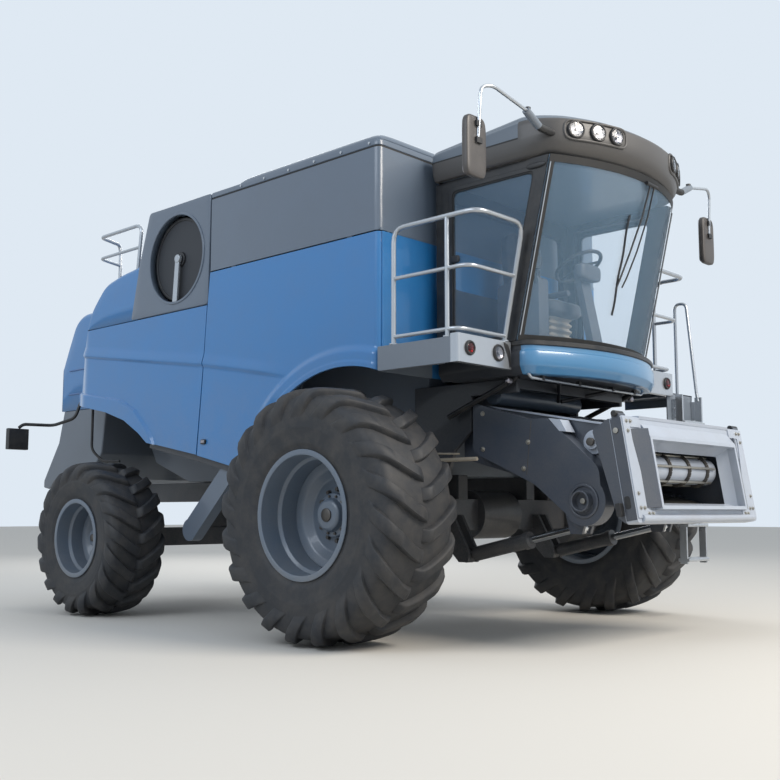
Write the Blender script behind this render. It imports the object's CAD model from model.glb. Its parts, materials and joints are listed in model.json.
# %% [markdown]
# # Combine harvester: the looks
# The solids of the machine come from CAD. This lesson dresses them: each piece that the eye
# meets is drawn again as a smooth surface, and every finish is built from nodes.
# The camera comes first, because everything is judged through it.

# %% The frame
import json

import bmesh
import bpy
import numpy as np
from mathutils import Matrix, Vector


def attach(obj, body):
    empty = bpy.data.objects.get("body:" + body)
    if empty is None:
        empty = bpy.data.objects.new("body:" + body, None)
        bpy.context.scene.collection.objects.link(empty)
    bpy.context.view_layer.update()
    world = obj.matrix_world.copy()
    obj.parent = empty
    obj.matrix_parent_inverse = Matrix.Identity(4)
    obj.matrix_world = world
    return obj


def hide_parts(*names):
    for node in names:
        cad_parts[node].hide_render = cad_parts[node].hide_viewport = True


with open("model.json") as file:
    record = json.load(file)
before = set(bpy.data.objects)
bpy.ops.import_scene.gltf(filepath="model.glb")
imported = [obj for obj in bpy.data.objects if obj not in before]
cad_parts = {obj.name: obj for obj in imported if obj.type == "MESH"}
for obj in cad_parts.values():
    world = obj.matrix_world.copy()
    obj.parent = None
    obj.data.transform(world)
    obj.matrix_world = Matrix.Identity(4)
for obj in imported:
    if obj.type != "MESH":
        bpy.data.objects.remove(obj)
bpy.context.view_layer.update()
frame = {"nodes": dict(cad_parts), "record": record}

AXLE_X = 1.705

# %% [markdown]
# The camera stands low at the right front, about ten metres away, as a person would who crouches
# in the field. A lens of 48 mm on a 36 mm sensor gives the same mild perspective. Its direction is
# written as a vector, and a look-along rotation turns the camera to it: this way no angle has to
# be guessed.

# %% Camera
camera_data = bpy.data.cameras.new("camera")
camera_data.lens = 48.3
camera_data.sensor_width = 36
camera = bpy.data.objects.new("camera", camera_data)
camera.location = (7.384, -7.305, 0.972)
camera.rotation_euler = Vector((-0.6774, 0.7264, 0.1158)).to_track_quat("-Z", "Y").to_euler()
bpy.context.scene.collection.objects.link(camera)
bpy.context.scene.camera = camera
bpy.context.scene.view_settings.view_transform = "Standard"
print("camera", tuple(round(v, 3) for v in camera.location))

# %% [markdown]
# Colours are picked as hex values, the way a paint chart gives them. The renderer works in linear
# light, so one function turns the sRGB curve round. One more small function adds a shader node
# with its options and its links, which keeps every material below to a few readable lines.


# %% Colour and node helpers
def linear(hex_colour):
    """Each channel c of sRGB becomes c / 12.92 below 0.04045 and ((c + 0.055) / 1.055) ** 2.4 above."""
    c = np.array([int(hex_colour[i : i + 2], 16) / 255 for i in (1, 3, 5)])
    c = np.where(c <= 0.04045, c / 12.92, ((c + 0.055) / 1.055) ** 2.4)
    return (*c.tolist(), 1.0)


def add(tree, kind, options=None, **inputs):
    """One node of this kind. An input's name is its socket's, with _ for a space; iN is socket N."""
    made = tree.nodes.new(kind)
    for key, value in (options or {}).items():
        setattr(made, key, value)
    for key, value in inputs.items():
        number = key[1:].isdigit() and key[0] == "i"
        socket = made.inputs[int(key[1:])] if number else made.inputs[key.replace("_", " ")]
        if isinstance(value, bpy.types.NodeSocket):
            tree.links.new(value, socket)
        else:
            socket.default_value = value
    return made


def new_finish(name):
    """An empty node material and its tree."""
    finish = bpy.data.materials.new(name)
    finish.use_nodes = True
    finish.node_tree.nodes.clear()
    return finish, finish.node_tree


# %% [markdown]
# The floor is a plain pale sheet, and the light is a studio's: a bright even room, one large
# soft lamp at the front, where the sun stood, and two weaker ones that draw a light line along
# the rounded edges. The room that the camera sees is a plain pale colour of its own, so that the
# background never adds light to the machine.

# %% Floor, room and lamps
def area_lamp(name, place, target, size, watts, colour):
    lamp = bpy.data.lights.new(name, "AREA")
    lamp.shape = "RECTANGLE"
    lamp.size, lamp.size_y = size
    lamp.energy = watts
    lamp.color = linear(colour)[:3]
    thing = bpy.data.objects.new(name, lamp)
    thing.location = place
    thing.rotation_euler = (Vector(target) - Vector(place)).to_track_quat("-Z", "Y").to_euler()
    bpy.context.scene.collection.objects.link(thing)


area_lamp("key", (11.0, 1.0, 8.5), (1.0, 0, 1.6), (5, 5), 1150, "#fff6ea")
area_lamp("side", (1.0, -12.0, 9.0), (0, 0, 2.0), (9, 4), 480, "#eaf3ff")
area_lamp("back", (-9.0, 7.0, 8.0), (0, 0, 2.0), (7, 5), 420, "#ffffff")

world = bpy.data.worlds.new("room")
bpy.context.scene.world = world
world.use_nodes = True
tree = world.node_tree
tree.nodes.clear()
path = add(tree, "ShaderNodeLightPath")
through = add(tree, "ShaderNodeMath", {"operation": "MAXIMUM"}, i0=path.outputs["Is Transmission Ray"],
              i1=path.outputs["Is Glossy Ray"])
seen = add(tree, "ShaderNodeMath", {"operation": "MAXIMUM"}, i0=path.outputs["Is Camera Ray"], i1=through.outputs[0])
room = add(tree, "ShaderNodeBackground", Color=linear("#e8f0fa"), Strength=0.62)
backdrop = add(tree, "ShaderNodeBackground", Color=linear("#dfe9f3"), Strength=1.0)
either = add(tree, "ShaderNodeMixShader", i0=seen.outputs[0], i1=room.outputs[0], i2=backdrop.outputs[0])
add(tree, "ShaderNodeOutputWorld", Surface=either.outputs[0])

floor_mesh = bpy.data.meshes.new("floor")
floor_mesh.from_pydata([(-60, -60, 0), (60, -60, 0), (60, 60, 0), (-60, 60, 0)], [], [(0, 1, 2, 3)])
floor = bpy.data.objects.new("floor", floor_mesh)
bpy.context.scene.collection.objects.link(floor)
floor_finish, tree = new_finish("pale_floor")
sheet = add(tree, "ShaderNodeBsdfPrincipled", Base_Color=linear("#d9d6cf"), Roughness=0.9)
add(tree, "ShaderNodeOutputMaterial", Surface=sheet.outputs[0])
floor_mesh.materials.append(floor_finish)

# %% [markdown]
# Most of the machine is steel under paint. A sprayed enamel is a coloured layer under a clear,
# glossy one, so the shader gets a coat. Two things tell the eye that it has worked outdoors: dust
# that settles low on the machine and in soft clouds, and a faint waviness of the sheet, called
# orange peel, that breaks up the reflections. The dust depends on height, which Object coordinates
# give as metres above the ground. Its clouds are about 290 mm wide and its speckle 8 mm, and the
# orange peel is drawn four times its real width, so that it shows from ten metres.


# %% Painted steel
def painted(name, colour, dust="#a79c8b", dusty=0.35, rough=0.32, coat=0.5, metal=0.0, peel_mm=6.0, dust_top=1.8):
    """Enamel under a clear coat; dusty is the share of dust near the ground, less up to dust_top."""
    finish, tree = new_finish(name)
    place = add(tree, "ShaderNodeTexCoord").outputs["Object"]
    axes = add(tree, "ShaderNodeSeparateXYZ", Vector=place)
    low = add(tree, "ShaderNodeMapRange", Value=axes.outputs["Z"], From_Min=0.2, From_Max=dust_top,
              To_Min=dusty, To_Max=dusty * 0.16)
    clouds = add(tree, "ShaderNodeTexNoise", Vector=place, Scale=3.5, Detail=6.0, Roughness=0.62)
    speckle = add(tree, "ShaderNodeTexNoise", Vector=place, Scale=120.0, Detail=2.0)
    grit = add(tree, "ShaderNodeMath", {"operation": "MULTIPLY_ADD"}, i0=clouds.outputs["Fac"], i1=1.5,
               i2=speckle.outputs["Fac"])
    cover = add(tree, "ShaderNodeMapRange", Value=grit.outputs[0], From_Min=0.75, From_Max=1.75)
    settled = add(tree, "ShaderNodeMath", {"operation": "MULTIPLY"}, i0=cover.outputs[0], i1=low.outputs[0])
    shade = add(tree, "ShaderNodeMix", {"data_type": "RGBA"}, i0=clouds.outputs["Fac"],
                i6=linear(colour), i7=tuple(v * 0.86 for v in linear(colour)[:3]) + (1.0,))
    tint = add(tree, "ShaderNodeMix", {"data_type": "RGBA"}, i0=settled.outputs[0], i6=shade.outputs[2],
               i7=linear(dust))
    dull = add(tree, "ShaderNodeMapRange", Value=settled.outputs[0], To_Min=rough, To_Max=0.85)
    peel = add(tree, "ShaderNodeTexNoise", Vector=place, Scale=1000 / peel_mm / 4, Detail=1.0)
    bump = add(tree, "ShaderNodeBump", Height=peel.outputs["Fac"], Strength=0.045, Distance=0.002)
    skin = add(tree, "ShaderNodeBsdfPrincipled", Base_Color=tint.outputs[2], Roughness=dull.outputs[0],
               Metallic=metal, Normal=bump.outputs[0], Coat_Weight=coat, Coat_Roughness=0.09)
    add(tree, "ShaderNodeOutputMaterial", Surface=skin.outputs[0])
    return finish


blue_enamel = painted("blue_enamel", "#1f77b9", dust="#9a9aa0", dusty=0.42, coat=0.7, dust_top=2.3)
deep_blue_enamel = painted("deep_blue_enamel", "#1c62a2", dusty=0.2)
pale_blue_enamel = painted("pale_blue_enamel", "#4580ad", dusty=0.15, coat=0.7)
slate_enamel = painted("slate_enamel", "#5f6d7e", dusty=0.15, coat=0.45)
roof_enamel = painted("roof_enamel", "#5f6b78", dusty=0.15, coat=0.3)
visor_plastic = painted("visor_plastic", "#4b4a4a", dusty=0.2, rough=0.45, coat=0.1, peel_mm=2.5)
chassis_enamel = painted("chassis_enamel", "#2b3038", dust="#96918a", dusty=0.38, rough=0.45, coat=0.2)
shoe_enamel = painted("shoe_enamel", "#68717c", dust="#8f8c88", dusty=0.4, rough=0.45, coat=0.2)
rim_enamel = painted("rim_enamel", "#5b6b7d", dusty=0.3, rough=0.36, coat=0.35)
cover_enamel = painted("cover_enamel", "#394352", dusty=0.2, rough=0.36, coat=0.3, dust_top=2.4)
plate_enamel = painted("plate_enamel", "#b2bccb", dusty=0.25, rough=0.36, coat=0.3, metal=0.1, dust_top=2.4)
fascia_enamel = painted("fascia_enamel", "#727c88", dusty=0.25, coat=0.3)
silver_enamel = painted("silver_enamel", "#b9bfc6", dusty=0.12, rough=0.26, coat=0.3, metal=0.65)
engine_iron = painted("engine_cast_iron", "#4b4d50", dusty=0.7, rough=0.6, coat=0.0, peel_mm=1.5, dust_top=4.0)
print("paints:", len(bpy.data.materials))

# %% [markdown]
# Rubber is dark but never black: its skin is matt, slightly brown with dry soil, and dusty in the
# grooves. The soil is a coarse noise over a fine grain of about half a millimetre, drawn at 4 mm so
# that it shows from ten metres. Black plastic is the same grey with a tighter grain and more shine.


# %% Rubber and plastic
def moulded(name, colour, dust, dusty, rough, grain_mm, depth_mm):
    """Rubber or plastic with a grain of this width and depth in its skin, and soil in patches."""
    finish, tree = new_finish(name)
    place = add(tree, "ShaderNodeTexCoord").outputs["Object"]
    soil = add(tree, "ShaderNodeTexNoise", Vector=place, Scale=7.0, Detail=8.0, Roughness=0.65)
    amount = add(tree, "ShaderNodeMapRange", Value=soil.outputs["Fac"], From_Min=0.40, From_Max=0.72, To_Max=dusty)
    tint = add(tree, "ShaderNodeMix", {"data_type": "RGBA"}, i0=amount.outputs[0], i6=linear(colour),
               i7=linear(dust))
    grain = add(tree, "ShaderNodeTexNoise", Vector=place, Scale=1000 / grain_mm, Detail=3.0)
    bump = add(tree, "ShaderNodeBump", Height=grain.outputs["Fac"], Strength=0.5, Distance=depth_mm / 1000)
    dull = add(tree, "ShaderNodeMapRange", Value=soil.outputs["Fac"], To_Min=rough - 0.12, To_Max=rough + 0.12)
    skin = add(tree, "ShaderNodeBsdfPrincipled", Base_Color=tint.outputs[2], Roughness=dull.outputs[0],
               Normal=bump.outputs[0])
    add(tree, "ShaderNodeOutputMaterial", Surface=skin.outputs[0])
    return finish


tyre_rubber = moulded("tyre_rubber", "#24272c", "#625d57", 0.34, 0.62, 4.0, 0.6)
black_plastic = moulded("black_plastic", "#1d1f23", "#5d5a55", 0.25, 0.45, 2.0, 0.2)
rubber_seal = moulded("rubber_seal", "#141517", "#44423f", 0.2, 0.6, 2.0, 0.2)
mirror_plastic = moulded("mirror_plastic", "#494645", "#6b6762", 0.2, 0.42, 2.0, 0.2)
console_plastic = moulded("console_plastic", "#4b5058", "#77777a", 0.2, 0.5, 2.0, 0.2)
bellows_rubber = moulded("bellows_rubber", "#a89f90", "#c2b9a8", 0.4, 0.65, 2.0, 0.2)
print("moulded:", tyre_rubber.name, black_plastic.name)

# %% [markdown]
# Bare metal has no paint: the rods are chromed and ground, which leaves fine rings, and the drum and
# chains are mild steel worn bright by the crop. Glass is a clear solid with a slight blue tint. The
# real pane is tinted in the mass, so its colour sits in the shader and not in a film on top.

# %% Metal and glass
def bare_metal(name, colour, rough, wear, ring_mm=3.0):
    """Metal whose smears darken it by the wear and change its polish; rings four times their width."""
    finish, tree = new_finish(name)
    place = add(tree, "ShaderNodeTexCoord").outputs["Object"]
    smear = add(tree, "ShaderNodeTexNoise", Vector=place, Scale=14.0, Detail=6.0)
    rings = add(tree, "ShaderNodeTexNoise", Vector=place, Scale=1000 / ring_mm / 4, Detail=2.0)
    tint = add(tree, "ShaderNodeMix", {"data_type": "RGBA"}, i0=smear.outputs["Fac"], i6=linear(colour),
               i7=tuple(v * (1 - wear) for v in linear(colour)[:3]) + (1.0,))
    dull = add(tree, "ShaderNodeMapRange", Value=smear.outputs["Fac"], To_Min=rough * 0.7, To_Max=rough * 1.4)
    bump = add(tree, "ShaderNodeBump", Height=rings.outputs["Fac"], Strength=0.1, Distance=0.0008)
    skin = add(tree, "ShaderNodeBsdfPrincipled", Base_Color=tint.outputs[2], Metallic=1.0, Roughness=dull.outputs[0],
               Normal=bump.outputs[0])
    add(tree, "ShaderNodeOutputMaterial", Surface=skin.outputs[0])
    return finish


def glazing(name, colour, rough=0.02, clear=1.0, alpha=1.0):
    """Glass with a thin film of dust that dulls it in patches."""
    finish, tree = new_finish(name)
    place = add(tree, "ShaderNodeTexCoord").outputs["Object"]
    dust = add(tree, "ShaderNodeTexNoise", Vector=place, Scale=5.0, Detail=7.0)
    film = add(tree, "ShaderNodeMapRange", Value=dust.outputs["Fac"], From_Min=0.45, From_Max=0.8,
               To_Min=rough, To_Max=rough + 0.1)
    skin = add(tree, "ShaderNodeBsdfPrincipled", Base_Color=linear(colour), Roughness=film.outputs[0],
               IOR=1.5, Transmission_Weight=clear, Alpha=alpha)
    add(tree, "ShaderNodeOutputMaterial", Surface=skin.outputs[0])
    return finish


chromed_steel = bare_metal("chromed_steel", "#d5d8dc", 0.14, 0.1)
worn_steel = bare_metal("worn_steel", "#b9b6ae", 0.38, 0.35)
dark_steel = bare_metal("dark_steel", "#6a6764", 0.5, 0.4)
lamp_mirror = bare_metal("lamp_mirror", "#a5a1a6", 0.28, 0.15)
cab_glass = glazing("tinted_glass", "#a6cdf0", clear=0.0, alpha=0.11)
lamp_glass = glazing("lamp_glass", "#f3f6f8", 0.05)
amber_lens = glazing("amber_lens", "#d9722a", 0.1)
red_lens = glazing("red_lens", "#b8242c", 0.1)
print("metal and glass:", chromed_steel.name, cab_glass.name)

# %% [markdown]
# A woven seat cover is cloth: two sets of threads cross, drawn here every 25 mm so that they show.
# Each thread lifts over the next one, and the sum of two waves in the bump gives just that.

# %% Seat cloth
seat_cloth, tree = new_finish("woven_seat_cloth")
place = add(tree, "ShaderNodeTexCoord").outputs["Object"]
warp, weft = (add(tree, "ShaderNodeTexWave", {"bands_direction": way}, Vector=place, Scale=12.5) for way in "YZ")
weave = add(tree, "ShaderNodeMath", {"operation": "ADD"}, i0=warp.outputs["Fac"], i1=weft.outputs["Fac"])
worn = add(tree, "ShaderNodeTexNoise", Vector=place, Scale=9.0, Detail=5.0)
mixed = add(tree, "ShaderNodeMix", {"data_type": "RGBA"}, i0=worn.outputs["Fac"], i6=linear("#3a3f46"),
            i7=linear("#565b62"))
bump = add(tree, "ShaderNodeBump", Height=weave.outputs[0], Strength=0.4, Distance=0.001)
skin = add(tree, "ShaderNodeBsdfPrincipled", Base_Color=mixed.outputs[2], Roughness=0.9, Sheen_Weight=0.3,
           Sheen_Roughness=0.5, Normal=bump.outputs[0])
add(tree, "ShaderNodeOutputMaterial", Surface=skin.outputs[0])
print("cloth:", seat_cloth.name)

# %% [markdown]
# Each CAD node starts with the finish of what it is. Nodes whose plain form is right but whose edges
# are too sharp get a copy below, with the loose triangles merged and every edge rounded a little:
# real steel has no knife edges, and the thin light line on an edge is what makes it look solid.

# %% Finishes of the CAD nodes
finish_of = {
    "chassis": chassis_enamel, "separator": shoe_enamel, "front_axle": chassis_enamel,
    "rear_axle": chassis_enamel, "knuckle": chassis_enamel, "tie_rod": chassis_enamel, "rim": rim_enamel,
    "tyre": tyre_rubber, "panel": blue_enamel, "grain_tank": slate_enamel, "front_wall": blue_enamel,
    "lid": slate_enamel, "engine": engine_iron, "cooler_housing": slate_enamel,
    "rotary_screen": black_plastic, "engine_hood": blue_enamel, "straw_hood": blue_enamel,
    "straw_chopper": shoe_enamel, "deck_railing": silver_enamel, "rear_lamps": black_plastic,
    "elevators": slate_enamel, "cab_frame": black_plastic, "cab_roof": roof_enamel, "roof_lamps": lamp_glass,
    "windshield": cab_glass, "side_window": cab_glass, "cab_door": cab_glass, "seat": seat_cloth,
    "steering": black_plastic, "mirrors": mirror_plastic, "platform": fascia_enamel,
    "handrails": silver_enamel, "ladder": silver_enamel, "feeder_house": cover_enamel,
    "feeder_covers": cover_enamel, "faceplate": plate_enamel, "feeder_drum": worn_steel,
    "lift_barrel": chassis_enamel, "lift_rod": chromed_steel, "auger_turret": slate_enamel,
    "unloading_auger": blue_enamel,
}
kinds = sorted(finish_of, key=len, reverse=True)
for name, thing in frame["nodes"].items():
    kind = next(k for k in kinds if name.startswith(k))
    thing.data.materials.clear()
    thing.data.materials.append(finish_of[kind])
print("dressed:", len(frame["nodes"]), "nodes")

# %% [markdown]
# Every new piece is made of parts, and a part is an array of points and a list of faces. The helpers
# here turn a grid of points into quads, join parts into one mesh, and give the mesh its materials,
# its body and its finishing modifiers. A piece's coats say which parts each material covers. Joining
# coincident points first and turning the faces outwards afterwards keeps the shells closed.


# %% Piece helpers
X, Y, Z = np.eye(3)


def grid(points, close_u=False, close_v=False, caps=False):
    """Quads between neighbours of an (n, m, 3) grid; a closed way joins its last row to its first."""
    points = np.asarray(points, float)
    n, m = points.shape[:2]
    index = np.arange(n * m).reshape(n, m)
    rows = np.vstack([index, index[:1]]) if close_u else index
    rows = np.hstack([rows, rows[:, :1]]) if close_v else rows
    quads = np.stack([rows[:-1, :-1], rows[1:, :-1], rows[1:, 1:], rows[:-1, 1:]], -1).reshape(-1, 4).tolist()
    if caps:
        quads += [index[0].tolist(), index[-1][::-1].tolist()]
    return points.reshape(-1, 3), quads


def mirrored(part):
    """The same part on the other side: every y changes its sign."""
    return part[0] * (1, -1, 1), [face[::-1] for face in part[1]]


def on_side(parts, side):
    """Parts are drawn for the left side; side -1 gives the right one."""
    return parts if side > 0 else [mirrored(part) for part in parts]


def both(parts):
    return parts + on_side(parts, -1)


def finished(name, mesh, body, replaces=(), bevel=0.0, sharp=38, wall=0.0, subdivide=0):
    """Shades the mesh, adds its wall, rounded edges or subdivision, and lets it ride its body."""
    mesh.shade_smooth()
    mesh.set_sharp_from_angle(angle=np.radians(sharp))
    thing = bpy.data.objects.new(name, mesh)
    bpy.context.scene.collection.objects.link(thing)
    if wall:
        solid = thing.modifiers.new("wall", "SOLIDIFY")
        solid.thickness = wall
        solid.offset = -1
    if bevel:
        edge = thing.modifiers.new("edge", "BEVEL")
        edge.width = bevel
        edge.segments = 2
        edge.limit_method = "ANGLE"
        edge.angle_limit = np.radians(sharp)
        edge.harden_normals = True
        edge.use_clamp_overlap = True
    if subdivide:
        smooth = thing.modifiers.new("smooth", "SUBSURF")
        smooth.levels = smooth.render_levels = subdivide
    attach(thing, body)
    if replaces:
        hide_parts(*([replaces] if isinstance(replaces, str) else replaces))
    print(name, len(mesh.polygons), "faces")
    return thing


def piece(name, coats, body, replaces=(), **finishing):
    """Joins {material: parts}, given from the front axle; a part may bring a number for each face."""
    points, faces, numbers, start = [], [], [], 0
    for number, parts in enumerate(coats.values()):
        for part in parts:
            points.append(part[0])
            faces += [[i + start for i in face] for face in part[1]]
            numbers += part[2] if len(part) > 2 else [number] * len(part[1])
            start += len(part[0])
    mesh = bpy.data.meshes.new(name)
    mesh.from_pydata((np.vstack(points) + (AXLE_X, 0, 0)).tolist(), [], faces)
    mesh.polygons.foreach_set("material_index", numbers)
    for material in coats:
        mesh.materials.append(material)
    shell = bmesh.new()
    shell.from_mesh(mesh)
    bmesh.ops.remove_doubles(shell, verts=shell.verts, dist=1e-5)
    bmesh.ops.dissolve_degenerate(shell, edges=shell.edges, dist=1e-6)
    bmesh.ops.recalc_face_normals(shell, faces=shell.faces)
    shell.to_mesh(mesh)
    shell.free()
    return finished(name, mesh, body, replaces, **finishing)


body_of = {name: body for body, names in frame["record"]["behaviour"]["bodies"].items() for name in names}


def rounded_copy(node, width):
    """A merged copy of a CAD node with its flat triangles joined and its edges rounded."""
    mesh = frame["nodes"][node].data.copy()
    shell = bmesh.new()
    shell.from_mesh(mesh)
    bmesh.ops.remove_doubles(shell, verts=shell.verts, dist=2e-5)
    bmesh.ops.dissolve_limit(shell, angle_limit=np.radians(1.0), verts=shell.verts, edges=shell.edges)
    shell.to_mesh(mesh)
    shell.free()
    return finished(node + "_finished", mesh, body_of[node], node, bevel=width, sharp=32)


# %% [markdown]
# Four ways of making a surface cover nearly the whole machine. A lathe turns a profile round an
# axis. A tube follows a path whose corners were rounded first, as a bent pipe's are. A slab carries
# an outline through a thickness. A patch spans four edge curves, which suits pressed sheet.


# %% Surface helpers
def turned(profile, steps=48, centre=(0, 0, 0), axis=Y, close=True):
    """Each (radius, along) of the profile sweeps a circle: centre + along * axis + radius * (cos, sin)."""
    axis = np.array(axis, float) / np.linalg.norm(axis)
    side = np.cross(axis, Z if abs(axis[2]) < 0.9 else X)
    side /= np.linalg.norm(side)
    up = np.cross(side, axis)
    turn = np.linspace(0, 2 * np.pi, steps, endpoint=False)[:, None, None]
    r, a = np.array(profile, float).T[:, None, :, None]
    ring = np.array(centre) + a * axis + r * (np.cos(turn) * side + np.sin(turn) * up)
    return grid(ring, close_u=True, close_v=close)


def soft(points, radius, closed=False, steps=5):
    """Corners become curves: (1-t)^2 * start + 2t(1-t) * corner + t^2 * end, a radius from the corner."""
    p = np.array(points, float)
    if closed:
        p = np.vstack([p[-1:], p, p[:1]])
    before, corner, after = p[:-2], p[1:-1], p[2:]
    back, on = before - corner, after - corner
    lb, lo = (np.linalg.norm(v, axis=1, keepdims=True) for v in (back, on))
    r = np.minimum(radius, np.minimum(lb, lo) * 0.49)
    start, end = corner + back / lb * r, corner + on / lo * r
    t = np.linspace(0, 1, steps)[None, :, None]
    curve = (1 - t) ** 2 * start[:, None] + 2 * t * (1 - t) * corner[:, None] + t**2 * end[:, None]
    curve = curve.reshape(-1, p.shape[1])
    return curve if closed else np.vstack([p[:1], curve, p[-1:]])


def tube(points, radius, bend=0.06, sides=14):
    """A circle of this radius carried along the softened path, square to it at each station."""
    path = soft(points, bend) if len(points) > 2 else np.array(points, float)
    ahead = np.gradient(path, axis=0)
    ahead /= np.linalg.norm(ahead, axis=1, keepdims=True)
    choices = np.vstack([np.eye(3), [[0.577, 0.577, 0.577], [0.7, -0.7, 0.14]]])
    steady = choices[np.abs(ahead @ choices.T).max(0).argmin()]
    side = np.cross(ahead, steady)
    side /= np.linalg.norm(side, axis=1, keepdims=True)
    up = np.cross(side, ahead)
    turn = np.linspace(0, 2 * np.pi, sides, endpoint=False)[None, :, None]
    circle = np.cos(turn) * side[:, None] + np.sin(turn) * up[:, None]
    return grid(path[:, None] + radius * circle, close_v=True, caps=True)


def slab(outline, lo, hi, axis=1):
    """A flat outline of the two other axes, carried straight along this axis from lo to hi."""
    flat = np.array(outline, float)
    return grid([np.insert(flat, axis, end, axis=1) for end in (lo, hi)], close_v=True, caps=True)


def box(x0, x1, y0, y1, z0, z1):
    return slab([(x0, z0), (x1, z0), (x1, z1), (x0, z1)], y0, y1)


def disc(radius, centre, axis, thick, steps=24):
    """A flat round part, such as a washer or a bolt's head when steps is 6."""
    return turned([(0.0, 0.0), (radius, 0.0), (radius, thick), (0.0, thick)], steps, centre, axis)


def resample(line, count):
    """Points at even lengths along a polyline: the running length is the measure to interpolate on."""
    line = np.array(line, float)
    run = np.concatenate([[0], np.cumsum(np.linalg.norm(np.diff(line, axis=0), axis=1))])
    want = np.linspace(0, run[-1], count)
    return np.column_stack([np.interp(want, run, line[:, k]) for k in range(line.shape[1])])


def spanned(low, high, start, end, n, m):
    """A patch between four curves: the two ruled blends added, less the blend of the four corners."""
    low, high = resample(low, n)[:, None], resample(high, n)[:, None]
    start, end = resample(start, m)[None], resample(end, m)[None]
    u, v = np.linspace(0, 1, n)[:, None, None], np.linspace(0, 1, m)[None, :, None]
    corners = (1 - u) * ((1 - v) * low[:1] + v * high[:1]) + u * ((1 - v) * low[-1:] + v * high[-1:])
    return (1 - v) * low + v * high + (1 - u) * start + u * end - corners


def distance(points, line):
    """Signed distance to a polyline: the least over its segments, positive on the line's left."""
    a, b = np.array(line[:-1], float), np.array(line[1:], float)
    way = b - a
    rel = points[..., None, :] - a
    t = np.clip((rel * way).sum(-1) / (way**2).sum(-1), 0, 1)
    gap = rel - t[..., None] * way
    far = np.linalg.norm(gap, axis=-1)
    best = far.argmin(-1)[..., None]
    sign = np.sign(way[..., 0] * rel[..., 1] - way[..., 1] * rel[..., 0])
    return np.take_along_axis(far * np.where(sign == 0, 1, sign), best, -1)[..., 0]


def ease(x):
    """A soft step from 0 to 1: 3x^2 - 2x^3 between the two."""
    x = np.clip(x, 0, 1)
    return x * x * (3 - 2 * x)


# %% [markdown]
# A field tyre is a fat ring with thick curved bars that meet in arrows. The carcass is a lathe form
# whose profile bulges at the sidewall and carries thin raised rings. Each bar rides on that same
# profile, from just past the middle to the upper sidewall, while its angle falls back along a
# curve; its section is a rounded trapezium. All bars are one array: bar, station and section point.


# %% Tyre profile and bars
LUG = 0.05
BEAD_SHARE = 0.86
LUG_SECTION = np.array([(-1.3, -0.25), (-1.12, 0.45), (-1.0, 0.86), (-0.82, 1.0), (0.82, 1.0), (1.0, 0.86),
                        (1.12, 0.45), (1.3, -0.25)])


def tyre_profile(crown, half, flange):
    """(radius, y) from bead to bead: softened knots, resampled evenly, plus three thin bell curves as rings."""
    wall = crown - flange
    knots = np.array([
        (flange - 0.022, -half * BEAD_SHARE), (flange + 0.012, -half * BEAD_SHARE), (flange + 0.05, -half * 0.93),
        (flange + wall * 0.42, -half * 0.995), (flange + wall * 0.68, -half * 0.985), (crown - 0.055, -half * 0.94),
        (crown - 0.012, -half * 0.78), (crown + 0.004, -half * 0.4), (crown + 0.008, 0)])
    knots = np.vstack([knots, (knots * (1, -1))[-2::-1]])
    profile = resample(soft(knots, 0.2, steps=9), 120)
    rings = flange + np.array([0.035, 0.055, 0.16])
    swell = (0.004 * np.exp(-(((profile[:, :1] - rings) / 0.006) ** 2))).sum(1) * (profile[:, 0] < crown - 0.1)
    profile[:, 1] += swell * np.sign(profile[:, 1])
    return profile


def lug_bars(profile, bars, sweep, way):
    """The profile's radius plus the section's rise, at the angle start + fall + section width / radius."""
    tangent = np.gradient(profile, axis=0)
    tangent /= np.linalg.norm(tangent, axis=1, keepdims=True)
    outward = np.column_stack([tangent[:, 1], -tangent[:, 0]])
    middle, reach_in, reach_out = len(profile) // 2, 2, 38
    station = np.linspace(middle - reach_in, middle + reach_out, 18)
    along = np.clip((station - middle) / reach_out, 0, 1)
    index = np.arange(len(profile))
    base, out = (np.column_stack([np.interp(station, index, line[:, k]) for k in (0, 1)])
                 for line in (profile, outward))
    height = LUG * np.interp(along, [0, 0.72, 0.9, 1.0], [1.0, 0.97, 0.55, 0.16])
    height *= np.concatenate([[0.02, 0.75], np.ones(14), [0.8, 0.02]])
    point = base[:, None] + (LUG_SECTION[:, 1] * height[:, None])[..., None] * out[:, None]
    aside = LUG_SECTION[:, 0] * (0.042 + 0.016 * along)[:, None] / base[:, :1]
    fall = -np.radians(sweep) * along**1.35
    start = (np.arange(bars) + (0.5 if way < 0 else 0)) * 2 * np.pi / bars
    angle = start[:, None, None] + fall[:, None] + aside
    y = np.broadcast_to(point[..., 1] * way, angle.shape)
    shape = np.stack([point[..., 0] * np.sin(angle), y, point[..., 0] * np.cos(angle)], -1)
    index = np.arange(angle.size).reshape(angle.shape)
    ring = np.concatenate([index, index[:, :, :1]], 2)
    quads = np.stack([ring[:, :-1, :-1], ring[:, 1:, :-1], ring[:, 1:, 1:], ring[:, :-1, 1:]], -1).reshape(-1, 4)
    caps = index[:, [0, -1]].reshape(-1, angle.shape[2])
    return shape.reshape(-1, 3), quads.tolist() + caps.tolist()


# %% [markdown]
# The bulge and the bars must end at the tyre's real width and radius. So whatever lies past the bead
# is scaled along the width, and whatever lies past the crown is scaled along the radius, until the
# furthest point is just there. The rest of the tyre stays as it is.


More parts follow.
